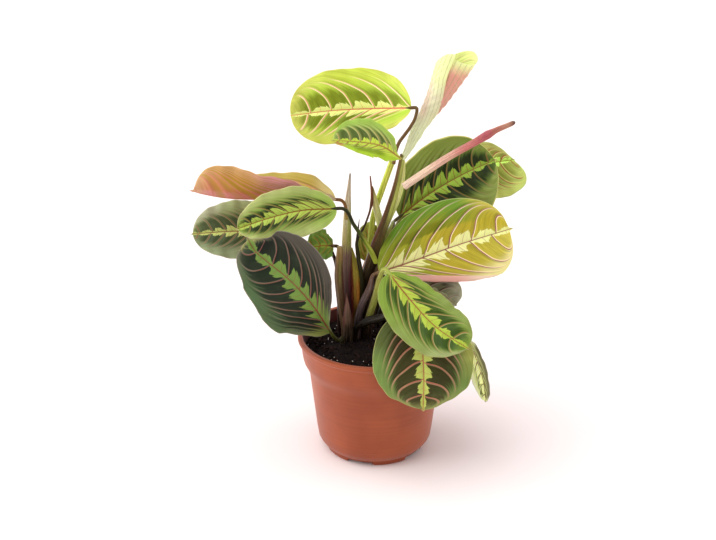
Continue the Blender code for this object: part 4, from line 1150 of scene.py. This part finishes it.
def soil_material():
    sh = Shade("soil")
    place = sh.attribute("place")
    crumb = sh.speckle(place, 0.35, 4.0, 0.7)
    speck = sh.speckle(place, 1.1)
    colour = sh.mix(crumb.step(0.35, 0.7), tint("060303"), tint("1e1310"))
    colour = sh.mix(speck.step(0.66, 0.74), colour, tint("5c3c28"))
    return sh.finish(colour, speck * 0.2 + 0.75, 0.1, crumb + speck * 0.4, 0.0015)


def build_soil():
    rng = np.random.RandomState(5)
    waves = [(rng.uniform(-1, 1, 2) * k, rng.uniform(0, 6.28), 0.9 / k ** 0.75) for k in
             (0.12, 0.16, 0.22, 0.3, 0.42, 0.6, 0.8, 1.1, 1.5) for _ in range(3)]
    verts = [(0, 0, SOIL_Z)]
    for i in range(1, SOIL_RINGS + 1):
        radius = SOIL_R * i / SOIL_RINGS
        for s in range(SOIL_SECTORS):
            angle = 2 * math.pi * (s + 0.5 * (i % 2)) / SOIL_SECTORS
            x, y = radius * math.cos(angle), radius * math.sin(angle)
            lump = sum(high * math.sin(dx * x + dy * y + start) for (dx, dy), start, high in waves) * 0.09
            verts.append((x, y, SOIL_Z + lump + soil_sag(radius)))
    verts += [(x, y, SOIL_Z - SOIL_DEPTH) for x, y, _ in verts[-SOIL_SECTORS:]]
    faces = [(0, 1 + s, 1 + (s + 1) % SOIL_SECTORS) for s in range(SOIL_SECTORS)]
    faces += grid_quads(SOIL_RINGS + 1, SOIL_SECTORS, closed=True, first=1, flip=True)
    faces.append(tuple(range(len(verts) - 1, len(verts) - 1 - SOIL_SECTORS, -1)))
    add_piece("soil_bed", verts, faces, soil_material(), {"place": verts}, ("soil",))


def grain_shape():
    """A coarse ball: its points and faces."""
    ball = [(math.sin(a) * math.cos(b), math.sin(a) * math.sin(b), math.cos(a))
            for a in GRAIN_TILTS for b in np.arange(GRAIN_SIDES) * 2 * math.pi / GRAIN_SIDES]
    points = np.array([(0, 0, 1)] + ball + [(0, 0, -1)])
    faces = grid_quads(len(GRAIN_TILTS), GRAIN_SIDES, closed=True, first=1, flip=True)
    last = len(points) - 1
    for j in range(GRAIN_SIDES):
        k = (j + 1) % GRAIN_SIDES
        faces.append((0, 1 + j, 1 + k))
        faces.append((last, last - GRAIN_SIDES + k, last - GRAIN_SIDES + j))
    return points, faces


def scatter(name, material, count, sizes, lift, seed):
    """Rounded rough grains lying on the soil inside the rim."""
    rng = np.random.RandomState(seed)
    ball, ball_faces = grain_shape()
    verts, faces = [], []
    for _ in range(count):
        r = GRAINS_R * math.sqrt(rng.uniform(0.0, 1))
        a = rng.uniform(0, 2 * math.pi)
        size = rng.uniform(*sizes)
        shape = ball * rng.uniform(0.75, 1.25, (len(ball), 1)) * rng.uniform(0.6, 1.2, 3) * size
        turn = rng.uniform(0, math.pi)
        c, s = math.cos(turn), math.sin(turn)
        turned = shape @ np.array([[c, -s, 0], [s, c, 0], [0, 0, 1]])
        place = (r * math.cos(a), r * math.sin(a), SOIL_Z + soil_sag(r) + lift * size)
        faces.extend(tuple(len(verts) + v for v in face) for face in ball_faces)
        verts.extend((turned + place).tolist())
    add_piece(name, verts, faces, material, {"place": verts})


def crumb_material():
    sh = Shade("soil_crumbs")
    place = sh.attribute("place")
    patch = sh.speckle(place, 0.25)
    grit = sh.speckle(place, 1.5)
    colour = sh.mix(patch.step(0.35, 0.65), tint("0c0706"), tint("2e1d17"))
    colour = sh.brighten(colour, grit + 0.5)
    return sh.finish(colour, grit * 0.2 + 0.75, 0.1, grit, 0.0006)


def perlite_material():
    sh = Shade("perlite")
    grit = sh.speckle(sh.attribute("place"), 1.8)
    colour = sh.mix(grit.step(0.3, 0.7), tint("a8a09a"), tint("e8e4dc"))
    return sh.finish(colour, grit * 0.2 + 0.7, 0.5, grit, 0.0005)


# ---------------- stage

FLOOR_HALF = 14.0


def add_camera():
    data = bpy.data.cameras.new("camera")
    data.lens = CAMERA_LENS
    data.sensor_width = SENSOR_WIDTH
    camera = add_object("camera", data)
    camera.location = [c * M for c in CAMERA_AT]
    camera.rotation_euler = (math.radians(90 - CAMERA_PITCH), 0, 0)
    bpy.context.scene.camera = camera


def add_floor():
    mesh = bpy.data.meshes.new("floor")
    corners = [(x * FLOOR_HALF, y * FLOOR_HALF, 0) for x, y in ((-1, -1), (1, -1), (1, 1), (-1, 1))]
    mesh.from_pydata(corners, [], [(0, 1, 2, 3)])
    sh = Shade("floor")
    soft = sh.noise(sh.node("ShaderNodeTexCoord", {}).outputs["Object"], scale=3.0)
    colour = sh.mix(soft.step(0.3, 0.7), tint("f2e7e6"), tint("f4eae8"))
    mesh.materials.append(sh.finish(colour, soft * 0.1 + 0.7, 0.2))
    floor = add_object("floor", mesh)


def add_sun(name, azimuth, elevation, soft, strength):
    """Soft light from far away; azimuth 0 is from the right, 90 from behind, 180 from the left."""
    data = bpy.data.lights.new(name, "SUN")
    data.angle = math.radians(soft)
    data.energy = strength
    light = add_object(name, data)
    light.rotation_euler = (0, math.radians(90 - elevation), math.radians(azimuth))
    light.location = (0, 0, 1)


def add_world(front, left, right, back):
    """A white studio: a bright panel at each side, paler behind the plant than behind the camera."""
    world = bpy.data.worlds.new("studio")
    world.use_nodes = True
    tree = world.node_tree
    ground = tree.nodes["Background"]
    split = tree.nodes.new("ShaderNodeSeparateXYZ")
    tree.links.new(tree.nodes.new("ShaderNodeTexCoord").outputs["Generated"], split.inputs[0])
    across, away, _ = [Num(tree, out) for out in split.outputs]
    panels = across.step(-0.6, -0.9) * left + across.step(0.7, 0.95) * right
    strength = panels + away.step(-0.2, 0.7) * back + front
    ground.inputs["Color"].default_value = (1, 1, 1, 1)
    plug(tree, ground.inputs["Strength"], strength)
    bpy.context.scene.world = world


def main():
    add_camera()
    bpy.context.scene.view_settings.view_transform = "Standard"
    add_floor()
    add_world(front=0.55, left=2.6, right=1.5, back=0.4)
    add_sun("soft_top", azimuth=210, elevation=72, soft=55, strength=1.85)
    for name, (slot, stalk) in EXTRA_STALKS.items():
        build_stalk(name, stalk, EXTRA_SEED + len(name), slot)
    build_pot()
    build_soil()
    scatter("soil_crumbs", crumb_material(), 700, sizes=(0.5, 1.7), lift=0.2, seed=11)
    scatter("perlite", perlite_material(), 120, sizes=(0.35, 0.85), lift=0.4, seed=12)
    for index, (name, leaf) in enumerate(LEAVES.items()):
        build_leaf(name, leaf, float(index))
    for index, (name, stalk) in enumerate(STALKS.items()):
        build_stalk(name, stalk, float(index))


main()
